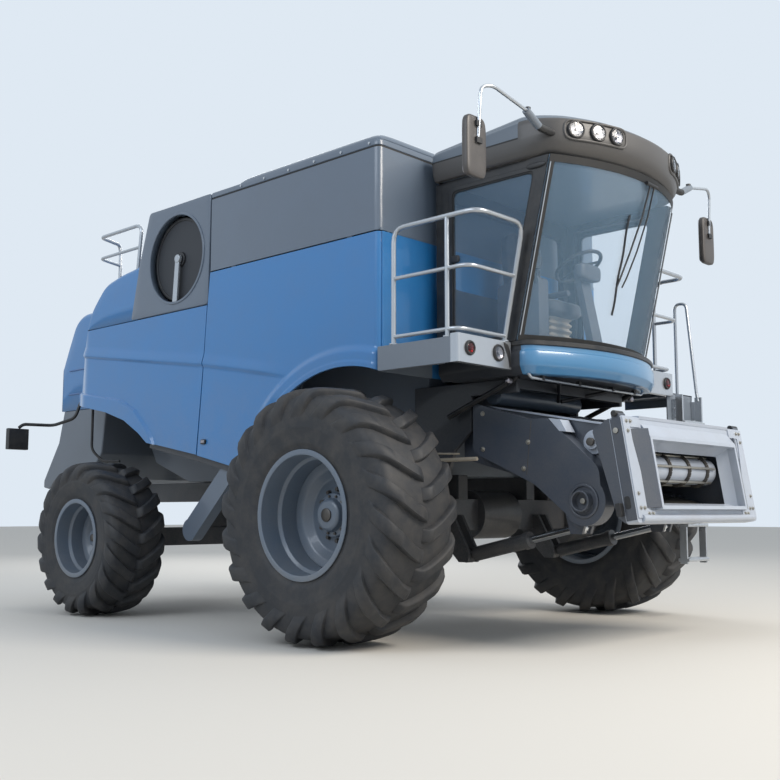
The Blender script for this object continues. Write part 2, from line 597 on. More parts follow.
# %% Tyres
def held(parts, radius, half):
    """Past a limit, limit + (value - limit) * (size - limit) / (furthest - limit); the value stays below it."""
    bead, crown = half * BEAD_SHARE, radius - LUG
    furthest = max(np.abs(points[:, 1]).max() for points, faces in parts)
    tallest = max(np.hypot(points[:, 0], points[:, 2]).max() for points, faces in parts)
    kept = []
    for points, faces in parts:
        out = np.abs(points[:, 1])
        y = np.where(out > bead, bead + (out - bead) * (half - bead) / (furthest - bead), out)
        r = np.hypot(points[:, 0], points[:, 2])
        drawn = crown + (r - crown) * (radius - crown) / (tallest - crown)
        pull = np.where(r > crown, drawn / np.maximum(r, 0.1), 1)
        kept.append((np.column_stack([points[:, 0] * pull, np.sign(points[:, 1]) * y, points[:, 2] * pull]), faces))
    return kept


def tyre_parts(radius, width, flange, bars, sweep, place):
    half = width / 2
    profile = tyre_profile(radius - LUG, half, flange)
    carcass = turned(np.vstack([profile, [[flange - 0.022, 0.0]]]), 120)
    parts = [carcass] + [lug_bars(profile, bars, sweep, way) for way in (1, -1)]
    return [(points + place, faces) for points, faces in held(parts, radius, half)]


wheels = {
    "front": dict(radius=0.95, width=0.76, flange=0.477, bars=20, sweep=21, place=(0, 1.83, 0.95)),
    "rear": dict(radius=0.727, width=0.60, flange=0.368, bars=18, sweep=23, place=(-3.33, 1.755, 0.727)),
}
sides = {"right": -1, "left": 1}
for end, size in wheels.items():
    for word, side in sides.items():
        piece(f"tyre_tread_{end}_{word}", {tyre_rubber: on_side(tyre_parts(**size), side)}, f"wheel_{end}_{word}",
              f"tyre_{end}_{word}", sharp=40)

# %% [markdown]
# The rim is pressed from one disc: a flange that holds the tyre, a drop centre, and a deep dish with
# two steps down to the hub. A lathe profile with softened corners is exactly how the real one is
# spun. The bolts are six-sided, in a ring, each on its washer.


# %% Rims
def around(count, radius, phase=0.0):
    """Even places on a circle: radius * (sin, cos) of the angle."""
    turn = np.linspace(0, 2 * np.pi, count, endpoint=False) + phase
    return radius * np.column_stack([np.sin(turn), np.cos(turn)])


def rim_sheet(width, flange, hub):
    """Barrel, dish and hub: three (radius, along) profiles, of which the barrel closes on itself."""
    seat, sheet, bead = flange - 0.027, 0.014, width / 2 * BEAD_SHARE
    edge, well = bead + 0.0143, bead * 0.45
    deep = seat - 0.028
    step = deep - sheet
    disc_r = step * 0.72
    barrel = soft([
        (seat, -bead), (flange, -bead), (flange + 0.002, -edge), (seat - sheet, -edge),
        (seat - sheet, -well - 0.028), (step, -well - sheet), (step, well + sheet),
        (seat - sheet, well + 0.028), (seat - sheet, edge), (flange + 0.002, edge), (flange, bead),
        (seat, bead), (seat, well + sheet), (deep, well), (deep, -well), (seat, -well - sheet)], 0.006, closed=True, steps=4)
    dish = soft([
        (0.0, -0.06), (hub * 1.35, -0.06), (disc_r, -0.074), (step * 0.86, -0.02), (step, 0.0), (step, sheet),
        (step * 0.84, -0.004), (disc_r - 0.007, -0.058), (hub * 1.3, -0.046), (0.0, -0.046)], 0.012, steps=4)
    nave = soft([
        (0.0, -0.135), (hub, -0.135), (hub, 0.008), (hub * 0.95, 0.015), (hub * 0.74, 0.015), (hub * 0.72, 0.062),
        (hub * 0.6, 0.075), (0.0, 0.075)], 0.008, steps=4)
    return [turned(barrel, 96), turned(dish, 72), turned(nave, 48)]


def rim_bolts(hub, bolts):
    parts = []
    for x, z in around(bolts, hub * 1.17):
        parts += [disc(0.021, (x, -0.048, z), Y, 0.006, 18), disc(0.016, (x, -0.048, z), Y, 0.026, 6)]
    parts += [disc(0.011, (x, 0.014, z), Y, 0.012, 6) for x, z in around(bolts, hub * 0.86, 0.3)]
    parts.append(turned([(0.0, 0.075), (hub * 0.3, 0.075), (hub * 0.3, 0.085), (hub * 0.2, 0.092), (0.0, 0.092)],
                        24))
    return parts


def at(parts, place, side):
    return on_side([(points + place, faces) for points, faces in parts], side)


for end, hub, bolts in (("front", 0.165, 12), ("rear", 0.115, 10)):
    size = wheels[end]
    for word, side in sides.items():
        sheet = at(rim_sheet(size["width"], size["flange"], hub), size["place"], side)
        fasteners = at(rim_bolts(hub, bolts), size["place"], side)
        piece(f"rim_dish_{end}_{word}", {rim_enamel: sheet, dark_steel: fasteners}, f"wheel_{end}_{word}",
              f"rim_{end}_{word}", sharp=50)

# %% [markdown]
# The side panels are pressed sheet. Each one is a patch between its four edges, and its depth is
# worked out from distances: to the long crease, to the arch, to the lip. Above the crease the sheet
# leans out and catches the sky; under it the sheet tucks in and turns dark. That one change of
# slope is what the eye reads as the style line.

# %% Side panel outlines
SHEET_Y = 1.556
crease = [(-4.096, 2.60), (-2.01, 2.31), (-1.45, 2.215), (-0.83, 2.10)]
arch_x, arch_z, arch_r = -0.18, 0.86, 1.25
front_x, front_top = 0.2, 3.152
arc = np.linspace(np.arctan2(1.191, 0.38), np.pi - np.arctan2(0.463, 1.161), 60)
arch_line = np.column_stack([arch_x + arch_r * np.cos(arc), arch_z + arch_r * np.sin(arc)])
front_low = np.vstack([arch_line, [(-1.36, 1.318), (-2.082, 1.480)]])
front_high = [(front_x, front_top), (-1.936, front_top)]
front_start = [(front_x, arch_line[0][1]), (front_x, front_top)]
front_end = [(-2.082, 1.480), (-2.006, 2.30), (-1.936, front_top)]
rear_low = [(-2.094, 1.49), (-2.85, 1.63), (-2.99, 1.73), (-3.25, 1.87), (-3.58, 1.97), (-4.16, 2.08)]
rear_high = [(-1.973, 2.852), (-4.010, 2.852)]
rear_start = [(-2.094, 1.49), (-2.014, 2.30), (-1.973, 2.852)]
rear_end = [(-4.16, 2.08), (-4.17, 2.21), (-4.096, 2.60), (-4.010, 2.852)]
rear_lip = [(-4.172, 2.21), (-3.35, 2.08), (-3.08, 1.96), (-2.90, 1.80), (-2.78, 1.67), (-2.70, 1.5)]
print("arch:", len(arch_line), "points, crease:", len(crease), "knots")

# %% [markdown]
# The depth is a sum of soft steps. The front edge rolls in as a quarter of a circle, the top has a
# slight crown, and the rear end tucks in, so the sheet has no truly flat place.


# %% Side panels
def panel_depth(x, z):
    """Crease: rises over 110 mm above the line, falls in 28 mm below it. Arch: rises between two radii."""
    off = -distance(np.stack([x, z], -1), crease)
    fade = ease((-0.75 - x) / 0.5) * ease((x + 4.2) / 0.12)
    line = 0.020 * fade * np.where(off < 0, ease(1 + off / 0.11), ease(1 - off / 0.028))
    r = np.hypot(x - arch_x, z - arch_z)
    flare = 0.028 * ease((1.43 - r) / 0.07) * ease((z - 1.72) / 0.25) * ease((0.26 - x) / 0.12)
    lip = 0.012 * ease((1.30 - r) / 0.012) * ease((z - 1.45) / 0.2)
    return np.maximum(line, flare + lip * 0.4)


def sheet_part(flat, depth):
    """The X-Z patch set out to the body's side by its own depth."""
    return grid(np.stack([flat[..., 0], SHEET_Y + depth, flat[..., 1]], -1))


def front_corner(x, start=0.15, radius=0.05):
    """Rolls in by radius * (sqrt(1 - t^2) - 1), with t the share of the radius that x has passed."""
    near = np.clip((x - start) / radius, 0, 1)
    return radius * (np.sqrt(np.clip(1 - near**2, 0, 1)) - 1)


flat = spanned(front_low, front_high, front_start, front_end, 210, 120)
x, z = flat[..., 0], flat[..., 1]
crown = 0.004 * np.sin(np.pi * np.clip((z - 2.3) / 0.85, 0, 1))
front_sheet = sheet_part(flat, panel_depth(x, z) + crown + front_corner(x))
flat = spanned(rear_low, rear_high, rear_start, rear_end, 190, 110)
x, z = flat[..., 0], flat[..., 1]
lip = 0.026 * ease(-distance(flat, rear_lip) / 0.02 + 0.5)
end_tuck = -0.05 * ease((-3.93 - x) / 0.24) ** 2
rear_sheet = sheet_part(flat, np.maximum(panel_depth(x, z), lip) + end_tuck)
for word, side in sides.items():
    for end, sheet in (("front", front_sheet), ("rear", rear_sheet)):
        piece(f"side_sheet_{end}_{word}", {blue_enamel: on_side([sheet], side)}, f"panel_{end}_{word}",
              f"panel_{end}_{word}", bevel=0.006, wall=0.022, sharp=50)

# %% [markdown]
# The grain tank is a folded sheet box with rounded front corners. A plan outline with softened
# corners is drawn at several insets, one for each station of a wall profile, and the rows are
# joined: that gives the outer wall, the thin groove under the lids, the rolled rim and the inner
# wall in one surface. The hopper below is a trough of plain plates.


# %% Grain tank
TANK_BACK, TANK_FRONT, TANK_FOOT, BODY_HALF = -1.932, 0.2, 3.16, 1.56
front_r, back_r = 0.055, 0.015


def tank_row(inset, z):
    """The tank's plan moved in by the inset, with its front and rear corner radii, at one height."""
    x0, x1, half = TANK_BACK + inset, TANK_FRONT - inset, BODY_HALF - inset
    reach = np.array([[front_r], [back_r], [back_r], [front_r]]) - inset * 0.5
    corners = [(x1, half), (x0, half), (x0, -half), (x1, -half)]
    return np.insert(soft(corners, np.maximum(reach, 0.004), closed=True, steps=7), 2, z, axis=1)


def tank_wall(profile):
    return grid([tank_row(inset, z) for inset, z in profile], close_u=True, close_v=True)


rim = [(0.02, 3.162), (0.0, TANK_FOOT), (0.0, 3.832), (0.007, 3.836), (0.007, 3.848), (0.0, 3.852), (0.0, 3.886),
       (0.004, 3.896), (0.012, 3.900), (0.02, 3.898)]
groove = [(0.0062, 3.834), (0.0062, 3.85), (0.009, 3.85), (0.009, 3.834)]
trough = [(1.545, 3.165), (1.47, 3.165), (0.32, 2.4803), (-0.32, 2.4803), (-1.47, 3.165), (-1.545, 3.165),
          (-1.545, 3.18), (-1.47, 3.18), (-0.314, 2.5003), (0.314, 2.5003), (1.47, 3.18), (1.545, 3.18)]
end_plate = [(1.47, 3.2), (0.32, 2.4803), (-0.32, 2.4803), (-1.47, 3.2)]
tank = [tank_wall(rim), slab(trough, -1.93, 0.198, 0)]
tank += [slab(end_plate, x, x + 0.018, 0) for x in (-1.93, 0.18)]
tank += [box(x, x + 0.06, y - 0.022, y, 3.1523, 3.161) for x in (-1.63, -0.16) for y in (1.552, -1.53)]
piece("tank_walls", {slate_enamel: tank, rubber_seal: [tank_wall(groove)]}, "body", "grain_tank", sharp=30)
latch_z, latches = 3.872, []
for x in np.linspace(-1.5, 0.1, 6):
    latches += [disc(0.011, (x, 1.556, latch_z), Y, 0.012, 12), disc(0.006, (x, 1.567, latch_z), Y, 0.006, 12)]
piece("tank_latches", {chromed_steel: both(latches)}, "body", sharp=40)

# %% [markdown]
# The two roof lids are pressed trays turned over. Their height falls to the rim on all four sides as
# a flattened dome, (1 - |u|^16) times (1 - |v|^16) under a root, and three shallow ribs cross them.

# %% Tank lids
lid_x, lid_y, lid_z = -0.705, 0.762, 3.9004
lid_long, lid_wide, lid_high = 0.895, 0.758, 0.084
u = np.cos(np.linspace(np.pi, 0, 60))[:, None]
v = np.cos(np.linspace(np.pi, 0, 50))[None, :]
dome = np.sqrt(np.clip(1 - np.abs(u) ** 16, 0, 1) * np.clip(1 - np.abs(v) ** 16, 0, 1))
rib = 0.008 * np.exp(-((((u * lid_long + 0.30) % 0.6 - 0.3) / 0.03) ** 2)) * ease((0.9 - np.abs(v)) / 0.05)
lid = grid(np.stack([lid_x + lid_long * u + 0 * v, lid_y + lid_wide * v + 0 * u,
                     lid_z + (lid_high + rib) * dome], -1))
for word, side in sides.items():
    piece(f"tank_lid_{word}", {slate_enamel: on_side([lid], side)}, f"lid_{word}", f"lid_{word}", wall=0.012,
          sharp=50)

# %% [markdown]
# The cooler housing stands behind the tank. Its right side has a round opening with a raised ring,
# and its outline is a slanted five-cornered shape. A polar patch solves that: each ray from the
# middle of the opening starts on the circle and ends where it meets the outline. The same outline
# runs across the machine to the plain left side. Its sides stand 2 mm proud of the hood's, which
# they overlap at the rear, so that no two faces share a plane.

# %% Cooler housing
housing = soft([(-1.94, 3.90), (-2.92, 3.90), (-3.08, 3.40), (-3.20, 2.86), (-1.96, 2.86)], 0.035, closed=True)
hole = np.array([-2.46, 3.37])
housing_half, round_r = 1.562, 0.012


def reach(centre, angle, outline):
    """Where a ray meets a closed outline: the least positive distance among all its segments."""
    way = np.stack([np.cos(angle), np.sin(angle)], -1)[:, None]
    a = outline - centre
    along = np.roll(a, -1, 0) - a
    cross = way[..., 0] * along[:, 1] - way[..., 1] * along[:, 0]
    cross = np.where(np.abs(cross) < 1e-9, 1e-9, cross)
    far = (a[:, 0] * along[:, 1] - a[:, 1] * along[:, 0]) / cross
    part = (a[:, 0] * way[..., 1] - a[:, 1] * way[..., 0]) / cross
    meets = (far > 0) & (part >= -1e-6) & (part <= 1 + 1e-6)
    return np.where(meets, far, 99).min(1)


corner_angles = np.arctan2(*(housing - hole).T[::-1])
angles = np.unique(np.round(np.concatenate([corner_angles, np.linspace(-np.pi, np.pi, 96, endpoint=False)]), 4))
edge_r = reach(hole, angles, housing)
opening = [(0.418, -1.50), (0.418, -1.566), (0.422, -1.572), (0.438, -1.572), (0.443, -1.5675),
           (0.444, -housing_half)]
ring_r = opening[-1][0]
stations = [(np.full(len(angles), r), y) for r, y in opening]
stations += [(ring_r + (edge_r - round_r - ring_r) * t, -housing_half) for t in (0.33, 0.66, 1.0)]
stations += [(edge_r - round_r * (1 - np.sin(a)), -housing_half + round_r * (1 - np.cos(a)))
             for a in (0.4, 0.8, 1.2, np.pi / 2)]
stations += [(edge_r - round_r * (1 - np.cos(a)), housing_half - round_r * (1 - np.sin(a)))
             for a in (0, 0.4, 0.8, 1.2, np.pi / 2)]
x, z = (hole[k] + np.array([r for r, y in stations]) * wave(angles) for k, wave in ((0, np.cos), (1, np.sin)))
y = np.broadcast_to(np.array([y for r, y in stations])[:, None], x.shape)
points, quads = grid(np.stack([x, y, z], -1), close_v=True)
quads.append(list(range(len(points) - len(angles), len(points))))
piece("cooler_shell", {slate_enamel: [(points, quads)]}, "body", "cooler_housing", wall=0.02, sharp=30)

# %% [markdown]
# The rotary screen is a disc of perforated plate that keeps chaff out of the cooler. The holes are
# about 4 mm in the real one; here they are 14 mm so that they show, as dots of a cell pattern with
# no randomness. A fixed arm, which sucks the plate clean, crosses it from the hub to the rim.

# %% Perforated plate
screen_plate, tree = new_finish("perforated_plate")
place = add(tree, "ShaderNodeTexCoord").outputs["Object"]
cells = add(tree, "ShaderNodeTexVoronoi", Vector=place, Scale=1000 / 14, Randomness=0.0)
holes = add(tree, "ShaderNodeMapRange", Value=cells.outputs["Distance"], From_Min=0.28, From_Max=0.36)
colour = add(tree, "ShaderNodeMix", {"data_type": "RGBA"}, i0=holes.outputs[0], i6=linear("#0c0d0f"),
             i7=linear("#3a3d42"))
bump = add(tree, "ShaderNodeBump", Height=holes.outputs[0], Strength=0.6, Distance=0.002)
skin = add(tree, "ShaderNodeBsdfPrincipled", Base_Color=colour.outputs[2], Roughness=0.5, Metallic=0.4,
           Normal=bump.outputs[0])
add(tree, "ShaderNodeOutputMaterial", Surface=skin.outputs[0])

# %% [markdown]
# The disc is the plate between an outer and an inner ring, all turned about the opening's middle.
# The arm is a tapered slab with a round cap at the hub; it stays still while the disc turns.

# %% Rotary screen
hub = (hole[0], 0, hole[1])
plate = turned([(0.072, -1.503), (0.375, -1.503), (0.375, -1.462), (0.072, -1.462)], 96, hub)
outer_ring = soft([(0.375, -1.512), (0.405, -1.512), (0.408, -1.46), (0.375, -1.46)], 0.006, closed=True)
inner_ring = soft([(0.0226, -1.52), (0.07, -1.52), (0.075, -1.46), (0.0226, -1.46)], 0.006, closed=True)
screen_rings = [turned(outer_ring, 96, hub), turned(inner_ring, 48, hub)]
piece("screen_disc", {screen_plate: [plate], black_plastic: screen_rings}, "screen", "rotary_screen", sharp=40)
arm = soft([(-2.49, 3.40), (-2.43, 3.40), (-2.455, 2.955), (-2.525, 2.955)], 0.012, closed=True)
cap = soft([(0.0, -1.556), (0.04, -1.556), (0.045, -1.526), (0.0, -1.526)], 0.006)
piece("screen_arm", {silver_enamel: [slab(arm, -1.552, -1.528), turned(cap, 36, hub)]}, "body", bevel=0.004)

# %% [markdown]
# Both hoods are one sheet bent over two side walls: a long curve gives the height, and at each
# station of it the section is an arch with rounded shoulders. As the curve drops to the foot, the
# shoulders shrink with it, so that the surface closes by itself.


# %% Engine hood and straw hood
def arched(curve, half, foot, shoulder):
    """Section points: up the wall, round a quarter circle, across; the height is the curve's."""
    x, z = curve[:, :1], curve[:, 1:]
    r = np.minimum(shoulder, np.maximum(z - foot, 1e-4))
    a = np.linspace(0, np.pi / 2, 7)[None]
    wide = np.full_like(z, half)
    wall_z = foot + (z - r - foot) * np.linspace(0, 1, 4)[None]
    y = np.hstack([np.repeat(wide, 4, 1), wide - r * (1 - np.cos(a)), wide * np.array([[0.6, 0.2]])])
    h = np.hstack([wall_z, z - r * (1 - np.sin(a)), np.repeat(z, 2, 1)])
    y, h = np.hstack([y, -y[:, ::-1]]), np.hstack([h, h[:, ::-1]])
    return grid(np.stack([np.broadcast_to(x, y.shape), y, h], -1))


hood_foot, straw_foot, straw_half = 2.86, 2.1, 1.2
hood_line = soft([(-3.088, 3.40), (-3.42, 3.36), (-3.69, 3.30), (-3.82, 3.18), (-3.93, 3.07), (-4.01, 2.862)], 0.09)
piece("engine_cover", {blue_enamel: [arched(resample(hood_line, 70), BODY_HALF, hood_foot, 0.045)]}, "body",
      "engine_hood", wall=0.02, sharp=40)
straw_line = soft([(-4.04, 3.18), (-4.71, 3.18), (-4.85, 3.11), (-5.01, 2.80), (-5.095, 2.62)], 0.09)
piece("straw_cover", {blue_enamel: [arched(resample(straw_line, 90), straw_half, straw_foot, 0.06)]}, "body",
      "straw_hood", wall=0.012, sharp=40)
back_corners = [(-straw_half, straw_foot), (straw_half, straw_foot), (straw_half, 2.622), (-straw_half, 2.622)]
straw_back = soft(back_corners, np.array([[0.004], [0.004], [0.06], [0.06]]), closed=True)
straw_front = [(-1.19, straw_foot), (-0.745, straw_foot), (-0.745, 2.605), (0.745, 2.605), (0.745, straw_foot),
               (1.19, straw_foot), (1.19, 3.15), (-1.19, 3.15)]
piece("straw_cover_ends", {blue_enamel: [slab(straw_front, -4.07, -4.045, 0), slab(straw_back, -5.1, -5.086, 0)]},
      "body", bevel=0.004)
beads = [tube([(-4.25, 1.204, z), (-4.95, 1.204, z)], 0.009, sides=8) for z in (2.28, 2.55)]
piece("straw_cover_beads", {deep_blue_enamel: both(beads)}, "body")

# %% [markdown]
# The machine's plain heavy parts keep their CAD form. Their edges are rounded, by 1.5 mm on thin
# sheet and up to 30 mm on the cast engine, as a torch-cut and ground plate has them.

# %% Heavy parts
for node, width in {
    "chassis": 0.006, "separator": 0.008, "front_axle": 0.010, "rear_axle": 0.008, "knuckle_right": 0.006,
    "knuckle_left": 0.006, "tie_rod": 0.003, "engine": 0.03, "straw_chopper": 0.016, "elevators": 0.010,
    "front_wall": 0.0015, "lift_barrel_right": 0.004, "lift_barrel_left": 0.004, "lift_rod_right": 0.003,
    "lift_rod_left": 0.003, "auger_turret": 0.008, "unloading_auger": 0.008,
}.items():
    rounded_copy(node, width)

# %% [markdown]
# Rails, ladders and brackets are bent steel tube. Each one is a path of a few corners; softening the
# corners first gives the bends a radius, as on a pipe bender, and a circle carried along gives the
# tube. The feet get a small round flange.

# %% Handrails
deck_top, bar_top, skin_gap = 2.23, 2.25, 0.0003
rail_y, rail_end, rail_top, rail_mid, rail_low = 1.55, 1.0, 3.13, 2.74, 2.29


def rail_x(z):
    """The front run leans by 12 degrees from the platform's front edge."""
    return 0.975 + (z - deck_top) * np.tan(np.radians(12))


def flange(x, y, z, radius=0.034):
    return disc(radius, (x, y, z + skin_gap), Z, 0.010)


def rail_set(back):
    """The outer hoop goes back, up, forward and in; two lower rails follow it."""
    foot_z = bar_top + 0.002
    hoop = [(back, rail_y, deck_top + skin_gap), (back, rail_y, rail_top), (rail_x(rail_top), rail_y, rail_top),
            (rail_x(rail_top), rail_end, rail_top), (rail_x(foot_z), rail_end, foot_z)]
    parts = [tube(hoop, 0.019, bend=0.11)]
    for z in (rail_mid, rail_low):
        parts.append(tube([(back, rail_y, z), (rail_x(z), rail_y, z), (rail_x(z), rail_end, z)], 0.016, bend=0.10))
    return parts + [flange(rail_x(foot_z), rail_end, bar_top), flange(back, rail_y, deck_top)]


post_x = 0.88
post = [tube([(post_x, rail_y, deck_top + skin_gap), (post_x, rail_y, rail_top)], 0.017),
        flange(post_x, rail_y, deck_top, 0.032)]
rails = on_side(rail_set(0.35) + post, -1) + rail_set(0.84)
piece("handrail_tubes", {silver_enamel: rails}, "body", "handrails")

# %% [markdown]
# The railing of the engine deck is the same bent tube, a hoop with one middle rail. The marker lamps
# at the tail hang on bent arms, and each has a red and an amber lens side by side.

# %% Deck rails and marker lamps
foot_x, foot_y, side_y, hood_top, top_z, mid_z = -4.07, 1.15, 1.47, 3.18, 3.86, 3.63
hoop = [(-3.24, side_y, 3.386), (-3.19, side_y, top_z - 0.05), (-3.25, side_y, top_z),
        (foot_x + 0.12, side_y, top_z), (foot_x, foot_y + 0.02, top_z), (foot_x, foot_y, top_z - 0.08),
        (foot_x, foot_y, hood_top + skin_gap)]
middle = [(-3.215, side_y, mid_z), (foot_x + 0.12, side_y, mid_z), (foot_x, foot_y, mid_z)]
deck_rail = [tube(hoop, 0.019, bend=0.07), tube(middle, 0.016, bend=0.07), flange(foot_x, foot_y, hood_top)]
piece("deck_rail_tubes", {silver_enamel: both(deck_rail)}, "body", "deck_railing")
lamp_arm = [(-4.30, 1.2003, 2.18), (-4.30, 1.42, 2.18), (-4.30, 1.50, 1.96), (-4.56, 1.60, 1.89),
            (-4.64, 1.90, 1.89), (-4.64, 1.95, 1.85)]
lamp_case = soft([(-4.68, 1.62), (-4.61, 1.62), (-4.61, 1.84), (-4.68, 1.84)], 0.012, closed=True)
lenses = [box(-4.686, -4.678, y, y + 0.09, 1.635, 1.825) for y in (1.865, 1.965)]
piece("marker_lamps", {black_plastic: both([tube(lamp_arm, 0.017, bend=0.06), slab(lamp_case, 1.85, 2.07)]),
                       red_lens: both(lenses[:1]), amber_lens: both(lenses[1:])}, "body", "rear_lamps", bevel=0.004)

# %% [markdown]
# The ladder is two flat stringers with five folded steps. Small ribs on each step keep a boot from
# slipping, and a hairpin tube gives the hand a hold beside the landing.

# %% Ladder
steps = []
for y, bolt_y in ((1.60, 1.596), (1.978, 2.0)):
    steps += [box(1.01, 1.08, y, y + 0.022, 0.5, 2.06), box(0.9703, 1.011, y, y + 0.022, 1.84, 2.02),
              disc(0.014, (0.99, bolt_y, 1.93), Y, 0.008, 6)]
for z in 0.52 + 0.316 * np.arange(5):
    tread = soft([(0.99, z), (1.10, z), (1.10, z + 0.03), (0.99, z + 0.03)], 0.006, closed=True, steps=3)
    steps.append(slab(tread, 1.601, 1.999))
    steps += [box(x, x + 0.008, 1.63, 1.97, z + 0.029, z + 0.036) for x in np.linspace(1.0, 1.085, 6)]
hairpin = [(1.045, 2.02), (1.03, 2.10), (0.95, 2.99), (0.83, 2.99), (0.83, 2.0803)]
steps.append(tube(np.insert(hairpin, 1, 1.986, axis=1), 0.0155, bend=0.055))
piece("ladder_steps", {silver_enamel: steps}, "body", "ladder", bevel=0.003)

# %% [markdown]
# The cab stands on a skirt with a curved front. Its plan is a closed outline: a straight rear, two
# straight sides and the arc of the glass. Rows of that outline at different insets and heights make
# the folded steel skirt, with a raised band that catches the light and a black seal above it.


# %% Cab skirt
LEAN = np.radians(13.3)
CAB_FLOOR, CAB_TOP, GLASS_R = 2.26, 3.64, 1.876


def inset(outline, gap):
    """Moves a closed outline inwards along its own normals by the gap (one number or one a point)."""
    way = np.roll(outline, -1, 0) - np.roll(outline, 1, 0)
    way /= np.linalg.norm(way, axis=1, keepdims=True)
    inward = np.column_stack([-way[:, 1], way[:, 0]])
    turn = np.sign((outline[:, 0] * np.roll(outline[:, 1], -1) - np.roll(outline[:, 0], -1) * outline[:, 1]).sum())
    return outline + inward * turn * np.reshape(gap, (-1, 1))


def stacked(outline, profile):
    """A row of the outline for each (inset, height), closed by the first and the last row."""
    rows = [np.insert(inset(outline, gap), 2, z, axis=1) for gap, z in profile]
    return grid(rows, close_v=True, caps=True)


arc_y = np.linspace(-0.90, 0.90, 41)
arc_front = np.column_stack([-0.466 + np.sqrt(GLASS_R**2 - arc_y**2), arc_y])
skirt_right = soft([(0.27, 0.0), (0.27, -0.95), (1.12, -0.95), arc_front[0]], 0.035)[1:-1]
skirt_left = soft([arc_front[-1], (1.12, 0.95), (0.27, 0.95), (0.27, 0.0)], 0.035)[1:-1]
skirt_plan = np.vstack([skirt_right, arc_front, skirt_left])
skirt = [(0.12, 2.0003), (0.045, 2.0003), (0.03, 2.008), (0.012, 2.045), (0.004, 2.06), (0.0, 2.07), (0.0, 2.165),
         (0.004, 2.176), (0.016, 2.186), (0.018, 2.20), (0.018, 2.222)]
points, faces = stacked(skirt_plan, skirt)
behind = [int(min(points[i, 0] for i in face) < 0.9 or len(face) > 4) for face in faces]
piece("cab_skirt", {pale_blue_enamel: [(points, faces, behind)], chassis_enamel: []}, "body", sharp=26)
seal = [(0.05, 2.2205), (0.012, 2.2205), (0.006, 2.226), (0.006, 2.254), (0.012, 2.2598), (0.05, 2.2598)]
floor_seal = stacked(skirt_plan, seal)

# %% [markdown]
# Each side of the cab is one frame around a big window: an outer and an inner outline with the same
# number of points, joined on both faces. The door and the fixed window are the same idea, one size
# smaller, with a pane set into them. The rear wall has its own, smaller window.


# %% Cab posts and walls
def ring_slab(outer, inner, lo, hi, axis=1):
    """Two outlines of one count: the face between them, carried through the thickness."""
    rows = [np.insert(np.array(line, float), axis, t, axis=1)
            for line, t in ((outer, hi), (inner, hi), (inner, lo), (outer, lo))]
    return grid(rows, close_u=True, close_v=True)


def upright(half, low, high, radius):
    """A rounded rectangle in Y and Z, even about the machine's middle."""
    return soft([(-half, low), (half, low), (half, high), (-half, high)], radius, closed=True)


def leaf(inwards, jamb, radius):
    """The window opening of the cab's side, moved inwards, with a jamb at the leaning front edge."""
    x0, z0, z1 = 0.40 + inwards, CAB_FLOOR + inwards, 3.58 - inwards
    x1 = 1.0111 - (0.035 + inwards + jamb) / np.cos(LEAN)
    slope = np.tan(LEAN)
    corners = [(x0, z0), (x1 + slope * (z0 - CAB_FLOOR), z0), (x1 + slope * (z1 - CAB_FLOOR), z1), (x0, z1)]
    return soft(corners, radius, closed=True)


hinge_x, hinge_y, hinge_heights, door_jamb = 0.404, 0.964, (2.44, 3.31), 0.06
wall_low, wall_half = CAB_FLOOR - 0.0002, 0.948
lean_run = np.tan(LEAN) * (CAB_TOP - CAB_FLOOR)
side_outline = soft([(0.329, wall_low), (1.047, wall_low), (1.047 + lean_run, CAB_TOP), (0.329, CAB_TOP)], 0.01,
                    closed=True)
posts, pins = [floor_seal], []
for side, jamb in ((-1, 0.0), (1, door_jamb)):
    posts += on_side([ring_slab(side_outline, leaf(0, jamb, 0.045), 0.88, wall_half)], side)
rear_window = upright(0.8, 2.78, 3.5, 0.06)
posts.append(ring_slab(upright(wall_half, wall_low, CAB_TOP, 0.02), rear_window, 0.27, 0.33, axis=0))
for z in hinge_heights:
    pins.append(turned([(0.0, 0.0), (0.007, 0.0), (0.007, 0.085), (0.0, 0.085)], 16, (hinge_x, hinge_y, z), Z))
    posts.append(box(0.34, 0.418, 0.946, 0.978, z, z + 0.02))
piece("cab_posts", {black_plastic: posts, dark_steel: pins}, "body", "cab_frame", bevel=0.004, sharp=32)

# %% [markdown]
# A door or window is two rings and a pane: the frame, a rubber lip inside it, and the glass, whose
# edge the lip hides. The door's two knuckles turn on the pins of the frame.


# %% Side window and door
def leaf_coats(gap, jamb, side):
    steps_in = ((0, 0.04), (0.034, 0.05), (0.048, 0.055))
    outer, middle, inner = (leaf(gap + edge, jamb, radius) for edge, radius in steps_in)
    pane_edge = leaf(gap + 0.043, jamb, 0.055)
    return {black_plastic: on_side([ring_slab(outer, middle, 0.912, wall_half)], side),
            rubber_seal: on_side([ring_slab(middle, inner, 0.92, 0.942)], side),
            cab_glass: on_side([slab(pane_edge, 0.925, 0.935)], side)}


piece("window_right", leaf_coats(0.0003, 0.0, -1), "body", "side_window", bevel=0.002)
door = leaf_coats(0.008, door_jamb, 1)
knuckle = [(0.00705, 0.0), (0.013, 0.0), (0.013, 0.06), (0.00705, 0.06)]
for z in hinge_heights:
    low = z + 0.0203
    door[black_plastic] += [turned(knuckle, 24, (hinge_x, hinge_y, low), Z),
                            box(0.41, 0.45, 0.946, 0.968, low, z + 0.08)]
handle = [(1.0, 0.946, 2.78), (1.0, 0.972, 2.78), (1.05, 0.972, 2.98), (1.05, 0.946, 2.98)]
door[black_plastic].append(tube(handle, 0.009, bend=0.02))
piece("door_left", door, "door", "cab_door", bevel=0.002)

